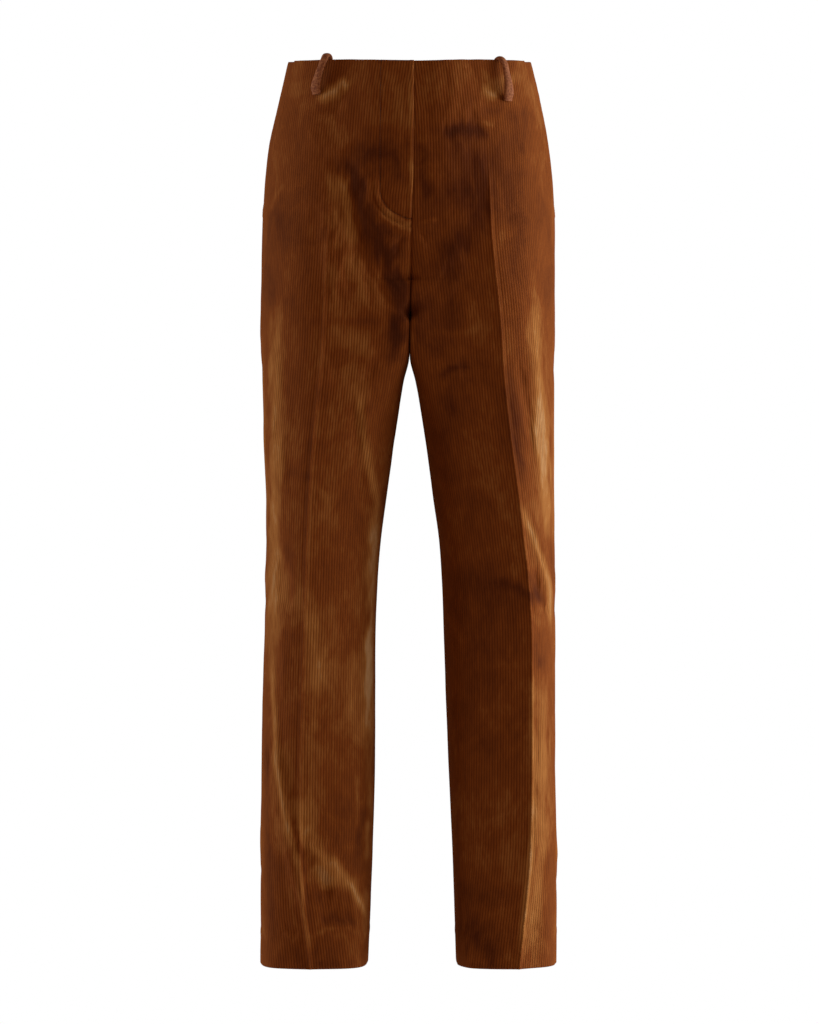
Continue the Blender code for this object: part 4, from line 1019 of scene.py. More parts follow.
    def at(self, row: int, distances: Array) -> tuple[Array, Array]:
        """Reads one section.

        Args:
            row: The section.
            distances: Distances along it from the front seam. Those below zero run straight past it.

        Returns:
            The points and the unit normals there.
        """
        run, points, out = self.run[row], self.points[row], self.out[row]
        found = np.stack([np.interp(distances, run, points[:, k]) for k in range(3)], -1)
        past = np.minimum(distances, 0)[:, None]
        found += past * (points[1] - points[0]) / np.linalg.norm(points[1] - points[0])
        normal = np.stack([np.interp(distances, run, out[:, k]) for k in range(3)], -1)
        return found, normal / np.linalg.norm(normal, axis=1, keepdims=True)

    def beside(self, face: Face, out_x: float, drop: float) -> tuple[Array, Array]:
        """Finds a place on the waist.

        Args:
            face: The front or the back.
            out_x: The distance from the middle.
            drop: The level. Above the top edge it is the top edge's own point, carried straight up.

        Returns:
            The point, and the level normal there.
        """
        held = max(drop, 0.0)
        half = 2 * CURVE_STEPS
        part = slice(0, half + 1) if face is Face.FRONT else slice(half, None)
        row = min(int(np.searchsorted(self.drops, held, side="right")) - 1, len(self.drops) - 2)
        t = (held - self.drops[row]) / (self.drops[row + 1] - self.drops[row])
        found = []
        for grid in (self.points, self.out):
            for i in (row, row + 1):
                reach = np.abs(self.points[i, part, 0])
                order = np.argsort(reach)
                found.append([np.interp(out_x, reach[order], grid[i, part][order, k]) for k in range(3)])
        above, below, out_above, out_below = np.array(found)
        point = (1 - t) * above + t * below + np.array([0.0, 0.0, held - drop])
        out = (1 - t) * out_above + t * out_below
        out[2] = 0.0
        return point, out / np.linalg.norm(out)


def cells(ids: Array, turned: bool) -> Array:
    """The four-sided faces of a grid of point numbers, the other way round where turned."""
    a, b, c, d = ids[:-1, :-1], ids[1:, :-1], ids[1:, 1:], ids[:-1, 1:]
    corners = (a, d, c, b) if turned else (a, b, c, d)
    return np.stack(corners, axis=-1).reshape(-1, 4)


def build_mesh(
    name: str,
    points: Array,
    faces: Sequence[Array],
    cloth: Array,
    nap_and_painted_light: Optional[Array] = None,
) -> Object:
    """Makes an object from four-sided faces, some of which have closed up to a triangle or a line.

    Args:
        name: The object's name.
        points: All points.
        faces: For each material in order, rows of four point numbers.
        cloth: Each point's place on the flat cloth, in metres.
        nap_and_painted_light: The painted light and shade at each point, partly the way the pile lies, for
            the attribute "nap".

    Returns:
        The object, shaded smooth, with the map "cloth".
    """
    loops, sizes, slots = [], [], []
    for slot, four in enumerate(faces):
        same = four == np.roll(four, -1, axis=1)
        whole = four[same.sum(axis=1) == 0]
        closed = same.sum(axis=1) == 1
        three = four[closed][~same[closed]].reshape(-1, 3)
        for block in (whole, three):
            loops.append(block.reshape(-1))
            sizes.append(np.full(len(block), block.shape[1]))
            slots.append(np.full(len(block), slot))
    loops, sizes, slots = (np.concatenate(x).astype(np.int32) for x in (loops, sizes, slots))
    used, loops = np.unique(loops, return_inverse=True)
    mesh = bpy.data.meshes.new(name)
    mesh.vertices.add(len(used))
    mesh.vertices.foreach_set("co", points[used].astype(np.float32).reshape(-1))
    mesh.loops.add(len(loops))
    mesh.loops.foreach_set("vertex_index", loops.reshape(-1).astype(np.int32))
    mesh.polygons.add(len(sizes))
    starts = np.concatenate(([0], np.cumsum(sizes)[:-1])).astype(np.int32)
    mesh.polygons.foreach_set("loop_start", starts)
    mesh.polygons.foreach_set("material_index", slots)
    mesh.uv_layers.new(name="cloth").data.foreach_set(
        "uv", cloth[used][loops.reshape(-1)].astype(np.float32).reshape(-1)
    )
    # The painted light and shade, partly the way the pile lies, go to a point attribute.
    if nap_and_painted_light is not None:
        mesh.attributes.new("nap_and_painted_light", "FLOAT", "POINT").data.foreach_set("value", nap_and_painted_light[used].astype(np.float32))
    mesh.update(calc_edges=True)
    mesh.validate()
    mesh.shade_smooth()
    made = bpy.data.objects.new(name, mesh)
    bpy.context.scene.collection.objects.link(made)
    return made


@dataclass
class CutPiece:
    """A cut piece of cloth as a thin closed shell on its half's form, wales and all.

    Args:
        name: The piece's name.
        node: The solid that it stands for.
        form: The half that it lies on.
        corduroy: The finish of its face.
        twill: The finish of its inner side.
        flat: The width and length that it is cut from. It is not used.
        lowest: The level of its lower end.
        thickness: That of its cloth and pile.
        middle_edge: Which edge lies in the middle: 0 for the near one, 1 for the far one, -1 for neither.
        sewn: Whether the near and the far edge are sewn into seams.
    """

    name: str
    node: str
    form: HalfForm
    corduroy: Material
    twill: Material
    flat: tuple[float, float] = (0.0, 0.0)
    lowest: float = OUTSEAM
    thickness: float = WALL
    middle_edge: int = -1
    sewn: tuple[bool, bool] = (True, True)
    least_share: float = 0.31

    def span(self, drops: Array, rows: Array) -> tuple[Array, Array, Array]:
        """The distances along each section of both edges and of the line that the wales start from."""
        raise NotImplementedError

    def edges(self, drops: Array) -> tuple[Array, Array]:
        """How far each edge is a folded one, from 0, sewn, to 1, at each level."""
        return np.zeros(len(drops)), np.zeros(len(drops))

    def lift(self, distances: Array, across: Array, drops: Array) -> Array:
        """How far the cloth lies off the form, apart from its wales and edges.

        Args:
            distances: Each point's distance along its section from the front seam.
            across: Each point's distance from the crease.
            drops: The level of each row.

        Returns:
            The lift of each point.
        """
        return np.zeros_like(distances)

    def build(self) -> Object:
        rows = np.flatnonzero(self.form.drops < self.lowest + SAME_LEVEL)
        drops = self.form.drops[rows]
        start, end, origin = self.span(drops, rows)
        step = WALE_PITCH / COLUMNS_PER_WALE
        first = math.floor((start - origin).min() / step) - 1
        last = math.ceil((end - origin).max() / step) + 1
        across = np.arange(first, last + 1) * step
        distances = np.clip(origin[:, None] + across, start[:, None], end[:, None])
        near = np.searchsorted(across, start - origin, side="right") - 1
        far = np.searchsorted(across, end - origin, side="left")
        read_rows = [self.form.at(row, line) for row, line in zip(rows, distances)]
        points = np.array([found[0] for found in read_rows])
        out = np.array([found[1] for found in read_rows])
        across = distances - origin[:, None]
        lift = self.lift(distances, across, drops)
        from_edge = (distances - start[:, None], end[:, None] - distances)
        fade = np.clip(np.minimum(*from_edge) / EDGE_FADE, EDGE_WALES, 1)
        wale = np.abs(np.cos(np.pi * across / WALE_PITCH))
        skin = lift + WALE_RELIEF * (wale - WALE_MIDDLE) * fade
        for i, (away, folded) in enumerate(zip(from_edge, self.edges(drops))):
            level = 1 - out[..., 0] ** 2 if i == self.middle_edge else 1.0
            rolled = sum(ridge.rise(away) for ridge in ROLLED_EDGE)
            skin += np.where(folded[:, None] > 0.5, rolled, level * SEWN_EDGE.rise(away))
        outer = points + out * skin[..., None]
        wall = np.where(drops > OUTSEAM - HEM_DEPTH - SAME_LEVEL, HEM_WALL, self.thickness)
        inner = points + out * (lift - wall[:, None])[..., None]
        self.close_seams(inner, lift, wall, rows, (near, far), (start, end))
        up = np.array([0.0, 0.0, EDGE_ROLL])
        outer[0] -= up
        outer[-1] += up
        rolls = [
            outer[i] - out[i] * EDGE_ROLL * depth + sign * up * height
            for i, sign, turns in ((0, 1, ROLL_TURNS), (-1, -1, ROLL_TURNS[::-1]))
            for depth, height in turns
        ]
        outer = np.concatenate(([rolls[0]], [rolls[1]], outer, [rolls[2]], [rolls[3]]))
        # The painted light and shade at each point, partly the way the pile lies.
        nap_and_painted_light = np.array(
            [np.interp(line, self.form.run[row], self.form.nap_and_painted_light[row]) for row, line in zip(rows, distances)]
        )
        return self.shell(outer, inner, across, drops, near, far, nap_and_painted_light)

    def close_seams(
        self,
        inner: Array,
        lift: Array,
        wall: Array,
        rows: Array,
        columns: tuple[Array, Array],
        edges: tuple[Array, Array],
    ) -> None:
        """Carries the inner side a little past each sewn edge, where seam allowances close the seam.

        Args:
            inner: The inner points, which are changed.
            lift: How far the cloth lies off the form.
            wall: Each row's thickness.
            rows: The sections' numbers.
            columns: For each row, the columns of the near and the far edge.
            edges: For each row, the distances of both edges.
        """
        probe, deeper = 0.001, 0.0002
        form, drops = self.form, self.form.drops[rows]
        facing = 1 - 2 * max(self.middle_edge, 0)
        seam = form.points[rows, -max(self.middle_edge, 0)]
        run = np.gradient(seam, axis=0)
        inward = facing * np.stack((np.zeros(len(rows)), -run[:, 2], run[:, 1]), axis=-1)
        inward /= np.linalg.norm(inward, axis=1, keepdims=True)
        folded = self.edges(drops)
        for i, step in enumerate((probe, -probe)):
            for r, row in enumerate(rows):
                if not self.sewn[i] or folded[i][r] > 0.5:
                    continue
                edge = columns[i][r]
                if i == self.middle_edge and drops[r] < CROTCH_DROP + SAME_LEVEL:
                    closed = seam[r] + wall[r] * inward[r] - (form.side.value * SEAM_CROSS, 0, 0)
                else:
                    found, normals = form.at(row, edges[i][r] + np.array([0.0, step]))
                    past = (found[0] - found[1]) / np.linalg.norm(found[0] - found[1])
                    depth = wall[r] + deeper * i - lift[r, edge]
                    closed = found[0] + SEAM_CROSS * past - depth * normals[0]
                inner[r, slice(0, edge + 1) if i == 0 else slice(edge, None)] = closed

    def shell(
        self,
        outer: Array,
        inner: Array,
        across: Array,
        drops: Array,
        near: Array,
        far: Array,
        nap_and_painted_light: Array,
    ) -> Object:
        """Joins the fine outer face to a plainer inner one.

        Args:
            outer: The outer points, with two rolled rows more at each end.
            inner: The inner points.
            across: Each point's distance from the crease.
            drops: The level of each row.
            near: For each row, the last column that still lies on its near edge.
            far: For each row, the first column that lies on its far edge.
            nap_and_painted_light: The painted light and shade at each point, partly the way the pile lies.

        Returns:
            The dressed object.
        """
        rows, columns = across.shape
        main = np.clip(np.arange(-2, rows + 2), 0, rows - 1)
        column = np.arange(columns)[None, :]
        outer_column = np.clip(column, near[main][:, None], far[main][:, None])
        outer_ids = np.arange(rows + 4)[:, None] * columns + outer_column
        top, bottom = CURVED_LEVELS
        curved = (drops > top) & (drops < bottom) | (np.abs(drops - OUTSEAM + HEM_DEPTH) < HEM_LINE_ROWS)
        kept = np.flatnonzero((np.arange(rows) % PLAIN_ROWS == 0) | curved | (np.arange(rows) == rows - 1))
        row = kept[np.searchsorted(kept, main, side="right") - 1]
        plain = np.clip(column, near[row][:, None], far[row][:, None])
        inside = (plain > near[row][:, None]) & (plain < far[row][:, None])
        coarse = np.maximum(plain // PLAIN_COLUMNS * PLAIN_COLUMNS, near[row][:, None])
        plain = np.where(inside, coarse, plain)
        inner_ids = (rows + 4) * columns + row[:, None] * columns + plain
        turned = self.form.side is Side.RIGHT
        face = [cells(outer_ids, turned)]
        lining = [cells(inner_ids, not turned)]
        for ids in ((inner_ids[:, 0], outer_ids[:, 0]), (outer_ids[:, -1], inner_ids[:, -1])):
            face.append(cells(np.stack(ids).T, turned))
        for ids in ((inner_ids[0], outer_ids[0]), (outer_ids[-1], inner_ids[-1])):
            lining.append(cells(np.stack(ids), turned))
        flat = np.stack((across, np.broadcast_to(drops[:, None], across.shape)), axis=-1)
        points = np.concatenate((outer.reshape(-1, 3), inner.reshape(-1, 3)))
        cloth = np.concatenate((flat[main].reshape(-1, 2), flat.reshape(-1, 2)))
        # Painted light and shade on the outer face only, partly the way the pile lies.
        brushed_and_painted_light = np.concatenate((nap_and_painted_light[main].reshape(-1), np.zeros(nap_and_painted_light.size)))
        faces = (np.concatenate(face), np.concatenate(lining))
        made = build_mesh(self.name, points, faces, cloth, brushed_and_painted_light)
        made.data.materials.append(self.corduroy)
        made.data.materials.append(self.twill)
        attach(made, "root")
        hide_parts(self.node)
        steps = np.linalg.norm(np.diff(inner, axis=1), axis=2).sum(axis=1)
        area = float((((steps[1:] + steps[:-1]) / 2) * np.diff(drops)).sum())
        log.info("%s: %d triangles, %.3f m2", self.name, triangles(made), area)
        return made


def triangles(made: Object) -> int:
    """How many triangles a piece has."""
    made.data.calc_loop_triangles()
    return len(made.data.loop_triangles)


@dataclass
class Panel(CutPiece):
    """A panel from waist to hem, with a crease pressed from a level downwards and a blind-stitched hem."""

    pressed_from: float = 0.13

    def lift(self, distances: Array, across: Array, drops: Array) -> Array:
        """Raises the pressed crease and the hem."""
        down = drops[:, None]
        pressed = np.clip((down - self.pressed_from) / PRESS_FADE, 0, 1)
        return PRESSED_EDGE.rise(across) * pressed + hemmed(distances, down)


@dataclass
class Front(Panel):
    """A front panel, from the centre seam to the side seam or the pocket mouth."""

    flat: tuple[float, float] = (0.262, 1.062)
    middle_edge: int = 0
    mouth_closed: float = 0.002

    def span(self, drops: Array, rows: Array) -> tuple[Array, Array, Array]:
        """The front runs from the centre seam or inseam to the side, less the pocket mouth."""
        form = self.form
        end = form.side_seam[rows] - SEAM_GAP / 2 - read(POCKET_MOUTH, "width", drops)
        return np.full(len(rows), SEAM_GAP / 2), end, form.crease_front[rows]

    def edges(self, drops: Array) -> tuple[Array, Array]:
        """The pocket mouth is a folded edge."""
        return np.zeros(len(drops)), (drops < MOUTH_END - self.mouth_closed).astype(float)

    def lift(self, distances: Array, across: Array, drops: Array) -> Array:
        """Raises the crease and the hem and, on the right, the ridges round the fly's stitches."""
        lift = super().lift(distances, across, drops)
        if self.form.side is Side.RIGHT:
            lift += self.fly_ridges(distances, drops[:, None])
        return lift

    @staticmethod
    def fly_ridges(distances: Array, down: Array) -> Array:
        """The cloth puffed up along the fly's curved stitches and laid flat under the lap."""
        away, inside = from_fly_stitches(distances, np.broadcast_to(down, distances.shape))
        low = np.clip((down - FLY_CURVE_TOP) / FLY_CURVE_FADE, 0, 1)
        beyond = np.where(inside, -away, away)
        ridges = sum(ridge.rise(beyond) for ridge in FLY_RIDGES)
        stitched = FLY_STITCHES.rise(beyond) * (0.4 + 0.6 * low)
        under = -LAP_BED * np.clip((-beyond - LAP_BED_START) / LAP_BED_FADE, 0, 1)
        return ridges * low + stitched + under


@dataclass
class Back(Panel):
    """A back panel, from the side seam to the centre back seam or the inseam."""

    flat: tuple[float, float] = (0.300, 1.062)
    middle_edge: int = 1
    pressed_from: float = 0.20

    def span(self, drops: Array, rows: Array) -> tuple[Array, Array, Array]:
        """The back runs from the side seam round to the centre back seam or the inseam."""
        form = self.form
        end = form.run[rows, -1] - SEAM_GAP / 2
        return form.side_seam[rows] + SEAM_GAP / 2, end, form.crease_back[rows]


@dataclass
class FlyLap(CutPiece):
    """The lap of the fly, from just past the centre front to its J-shaped line of stitches."""

    flat: tuple[float, float] = (0.040, 0.196)
    lowest: float = LAP_DROP
    thickness: float = 0.0008
    sewn: tuple[bool, bool] = (False, False)
    edge_lift: float = 0.0013
    stitched_lift: float = 0.0003

    def span(self, drops: Array, rows: Array) -> tuple[Array, Array, Array]:
        """The lap runs from past the centre front to its stitches."""
        over = LAP_OVER * np.clip((LAP_DROP - drops) / LAP_FADE, 0, 1)
        return -over, read(FLY_LAP, "width", drops), self.form.crease_front[rows]

    def edges(self, drops: Array) -> tuple[Array, Array]:
        """The lap's front edge is a folded one."""
        return np.ones(len(drops)), np.zeros(len(drops))

    def lift(self, distances: Array, across: Array, drops: Array) -> Array:
        """The lap stands highest at its folded edge and dies into the front at its stitches."""
        far = np.clip(distances / read(FLY_LAP, "width", drops)[:, None], 0, 1)
        return self.edge_lift - (self.edge_lift - self.stitched_lift) * far**2


@dataclass
class HipPiece(CutPiece):
    """The piece that shows behind a pocket mouth and sinks under the front's folded edge."""

    flat: tuple[float, float] = (0.058, 0.190)
    lowest: float = MOUTH_END
    sewn: tuple[bool, bool] = (False, True)

    def span(self, drops: Array, rows: Array) -> tuple[Array, Array, Array]:
        """The piece runs from under the front to the side seam."""
        side = self.form.side_seam[rows] - SEAM_GAP / 2
        start = side - read(POCKET_MOUTH, "width", drops) - POCKET_UNDERLAP
        return start, side, self.form.crease_front[rows]

    def lift(self, distances: Array, across: Array, drops: Array) -> Array:
        """Sinks the piece towards the mouth, and all of it where the mouth closes."""
        mouth = read(POCKET_MOUTH, "width", drops)[:, None]
        side = distances.max(axis=1, keepdims=True)
        sunk = np.clip((side - distances) / np.maximum(mouth, WALL), 0, 1)
        return -POCKET_SINK * np.maximum(sunk, 1 - mouth / POCKET_FADE)


def hemmed(distances: Array, down: Array) -> Array:
    """The soft line of a blind-stitched hem, pricked where each stitch catches the cloth."""
    line = down - OUTSEAM + HEM_DEPTH
    pricks = 0.55 + 0.45 * np.cos(2 * np.pi * distances / PRICK_PITCH)
    return pricks * HEM_STITCHES.rise(line) + HEM_FULLNESS.rise(line)


def fly_stitch_line() -> Array:
    """The line of the fly's stitches, as (distance from the centre front, level) points."""
    straight, curved = np.linspace(0.002, 0.15, 20), np.linspace(0.153, LAP_DROP, 24)
    drops = np.concatenate((straight, curved))
    line = np.stack((read(FLY_LAP, "width", drops), drops), axis=-1)
    return np.concatenate((line, [[0.0005, FLY_END]]))


def from_fly_stitches(distances: Array, down: Array) -> tuple[Array, Array]:
    """How far points lie from the fly's stitches, and which of them lie on the lap's side."""
    line = fly_stitch_line()
    nearest = np.full(distances.shape, np.inf)
    for start, end in zip(line[:-1], line[1:]):
        run = end - start
        t = ((distances - start[0]) * run[0] + (down - start[1]) * run[1]) / (run @ run)
        t = np.clip(t, 0, 1)
        away = np.hypot(distances - start[0] - t * run[0], down - start[1] - t * run[1])
        nearest = np.minimum(nearest, away)
    inside = (distances < read(FLY_LAP, "width", down)) & (down < FLY_END)
    return nearest, inside


@dataclass
class BeltLoop:
    """A rouleau belt loop, a narrow tube of cloth that stands off the waist and tucks in over its edge.

    Args:
        node: The solid that it stands for.
        form: The half that it is sewn to.
        face: The front or the back.
        top_x: How far from the middle it passes over the edge.
        lean: How much further out its stitched end lies.
        sink: How much lower than the others it sits.
        length: The drop of its stitched end.
        cloth: Its finish.
        width: That of the tube.
        end_width: Its width where it is stitched down.
        thickness: How thick the tube is.
        sides: How many sides a ring of it has.
        steps: How many rings lie between two points of its path.
        rumple: How uneven it is, as a share of its size.
        rumple_length: The shortest and the longest of its uneven waves.
        seam: The groove of its own seam, as a share of its size.
        seam_angle: Where that runs round it.
        squareness: Below 1 its sides are fuller than an ellipse's.
    """

    node: str
    form: HalfForm
    face: Face
    top_x: float
    lean: float
    sink: float
    length: float
    cloth: Material
    width: float = 0.0088
    end_width: float = 0.0116
    thickness: float = 0.0050
    sides: int = 28
    steps: int = 6
    rumple: float = 0.022
    rumple_length: tuple[float, float] = (0.0020, 0.0070)
    seam: Ridge = Ridge(-0.10, 0.10)
    seam_angle: float = 1.1
    squareness: float = 0.8

    def widths(self, gone: Array) -> Array:
        """The tube's width at distances along it. It spreads towards its stitched end."""
        near = np.clip(1.15 - gone / (0.8 * self.length), 0, 1)
        return self.width + (self.end_width - self.width) * near * near * (3 - 2 * near)

    def centre_line(self) -> tuple[Array, Array]:
        """The tube's centre line, and the level direction across it, point for point."""
        centres, across = [], []
        for stand_off, level in through(np.array(LOOP_PATH), self.steps):
            drop = max(level, 0.0) * self.length / LOOP_PATH[0].drop + min(level, 0.0) + self.sink
            lean = self.lean * np.clip(drop / (self.length + self.sink), 0, 1)
            base, out = self.form.beside(self.face, self.top_x + lean, drop)
            centres.append(base + stand_off * out)
            across.append(np.cross(out, (0.0, 0.0, 1.0)))
        return np.array(centres), np.array(across)

    def build(self) -> Object:
        """Makes the tube, slightly twisted and rumpled, with closed ends."""
        centres, across = self.centre_line()
        along = np.gradient(centres, axis=0)
        along /= np.linalg.norm(along, axis=1, keepdims=True)
        deep = np.cross(along, across)
        deep /= np.linalg.norm(deep, axis=1, keepdims=True)
        gone = np.concatenate(([0.0], np.cumsum(np.linalg.norm(np.diff(centres, axis=0), axis=1))))
        angle = np.arange(self.sides + 1) / self.sides * 2 * np.pi
        rng = np.random.default_rng(len(self.node) + int(1000 * self.top_x))
        rumple = sum(
            self.rumple
            * np.sin(gone[:, None] / rng.uniform(*self.rumple_length) + k * angle + rng.uniform(0, 6))
            for k in range(4)
        )
        seam = self.seam.rise(np.cos((angle - self.seam_angle) / 2))
        turn = np.cos(angle)
        wide = np.outer(self.widths(gone), np.sign(turn) * np.abs(turn) ** self.squareness) / 2
        high = np.sin(angle) * self.thickness / 2
        swell = (1 + rumple + seam)[..., None]
        points = centres[:, None] + swell * (
            across[:, None] * wide[..., None] + deep[:, None] * high[None, :, None]
        )
        rings, sides = len(centres), self.sides
        ids = np.arange(rings)[:, None] * sides + np.arange(sides + 1)[None, :] % sides
        ends = rings * sides + np.array([0, 1])
        caps = [np.full((1, sides + 1), end) for end in ends]
        faces = cells(np.concatenate((caps[0], ids, caps[1])), False)
        everything = np.concatenate((points[:, :-1].reshape(-1, 3), centres[[0, -1]]))
        flat = np.stack(np.broadcast_arrays(angle[:-1] * self.width / 2, gone[:, None]), axis=-1)
        cloth = np.concatenate((flat.reshape(-1, 2), np.zeros((2, 2))))
        made = build_mesh(self.node.replace("belt_loop", "rouleau"), everything, (faces,), cloth)
        outwards(made)
        made.data.materials.append(self.cloth)
        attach(made, "root")
        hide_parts(self.node)
        log.info("%s: %d triangles", made.name, triangles(made))
        return made


def outwards(made: Object) -> None:
    """Points a closed piece's faces outwards."""
    activate(made)
    bpy.ops.object.mode_set(mode="EDIT")
    bpy.ops.mesh.select_all(action="SELECT")
    bpy.ops.mesh.normals_make_consistent(inside=False)
    bpy.ops.object.mode_set(mode="OBJECT")


def activate(made: Object) -> None:
    """Selects one object and nothing else."""
    bpy.ops.object.select_all(action="DESELECT")
    made.select_set(True)
    bpy.context.view_layer.objects.active = made


@dataclass
class Stitching:
    """A row of short thread stitches, one modelled and the others copied from it.

    Args:
        name: The row's name.
        thread: Its finish.
        pitch: The distance from one stitch to the next.
        length: The length of one stitch.
        gauge: The thickness of its thread.
        squareness: Below 1 a stitch is blunter than an ellipse.
    """

    name: str
    thread: Material
    pitch: float = 0.0030
    length: float = 0.0021
    gauge: float = 0.00040
    squareness: float = 0.8

    def one(self) -> tuple[Array, Array]:
        """One stitch along X, as points and four-sided faces."""
        bpy.ops.object.select_all(action="DESELECT")
        bpy.ops.mesh.primitive_uv_sphere_add(segments=6, ring_count=5, radius=0.5)
        ball = bpy.context.object
        bpy.ops.transform.rotate(value=math.pi / 2, orient_axis="Y", center_override=(0, 0, 0))
        bpy.ops.object.transform_apply(location=False, rotation=True, scale=False)
        points = np.array([corner.co for corner in ball.data.vertices])
        faces = [tuple(face.vertices) for face in ball.data.polygons]
        four = np.array([face if len(face) == 4 else (face[0], *face) for face in faces])
        bpy.data.objects.remove(ball, do_unlink=True)
        points[:, 0] = np.sign(points[:, 0]) * np.abs(points[:, 0] * 2) ** self.squareness / 2
        return points * (self.length, self.gauge, self.gauge), four

    def sew(self, lines: Sequence[tuple[Array, Array]]) -> Object:
        """Sews along lines.

        Args:
            lines: For each line, its points and the cloth's normals there.

        Returns:
            All stitches as one piece.
        """
        points, faces = self.one()
        placed, joined = [], []
        for line, normals in lines:
            gone = np.concatenate(([0.0], np.cumsum(np.linalg.norm(np.diff(line, axis=0), axis=1))))
            for at in np.arange(self.pitch / 2, gone[-1], self.pitch):
                centre, ahead, up = (
                    np.array([np.interp(at, gone, grid[:, k]) for k in range(3)])
                    for grid in (line, np.gradient(line, gone, axis=0), normals)
                )
                ahead /= np.linalg.norm(ahead)
                side = np.cross(up, ahead)
                side /= np.linalg.norm(side)
                turn = np.stack((ahead, side, np.cross(ahead, side)))
                joined.append(faces + len(points) * len(placed))
                placed.append(centre + points @ turn)
        everything = np.concatenate(placed)
        flat = np.zeros((len(everything), 2))
        made = build_mesh(self.name, everything, (np.concatenate(joined),), flat)
        outwards(made)
        made.data.materials.append(self.thread)
        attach(made, "root")
        log.info("%s: %d stitches, %d triangles", self.name, len(placed), triangles(made))
        return made


def linear(colour: str) -> tuple[float, float, float, float]:
    """Turns an sRGB hex value such as #6B3A1C to linear values with full alpha."""
    parts = [int(colour[i : i + 2], 16) / 255 for i in (1, 3, 5)]
    light = [c / 12.92 if c <= 0.04045 else ((c + 0.055) / 1.055) ** 2.4 for c in parts]
    return light[0], light[1], light[2], 1.0


def add_node(
    material: Material, kind: str, settings: dict[Any, Any], links: Optional[dict[Any, Any]] = None
) -> Node:
    """Adds a node to a material.

    Args:
        material: The material, whose nodes are in use.
        kind: The node's type.
        settings: Values of its own properties, or else of its inputs by name or number.
        links: The sockets that its inputs read, by name or number.

    Returns:
        The node.
    """
    made = material.node_tree.nodes.new(kind)
    for key, value in settings.items():
        if isinstance(key, str) and hasattr(made, key):
            setattr(made, key, value)
        else:
            made.inputs[key].default_value = value
    for key, source in (links or {}).items():
        material.node_tree.links.new(source, made.inputs[key])
    return made


def blank(name: str, finish: dict[str, Any]) -> tuple[Material, Node]:
    """A new material and its Principled shader, with a finish set on the shader's own sockets."""
    material = bpy.data.materials.new(name)
    material.use_nodes = True
    shader = material.node_tree.nodes["Principled BSDF"]
    for socket, value in finish.items():
        shader.inputs[socket].default_value = value
    return material, shader


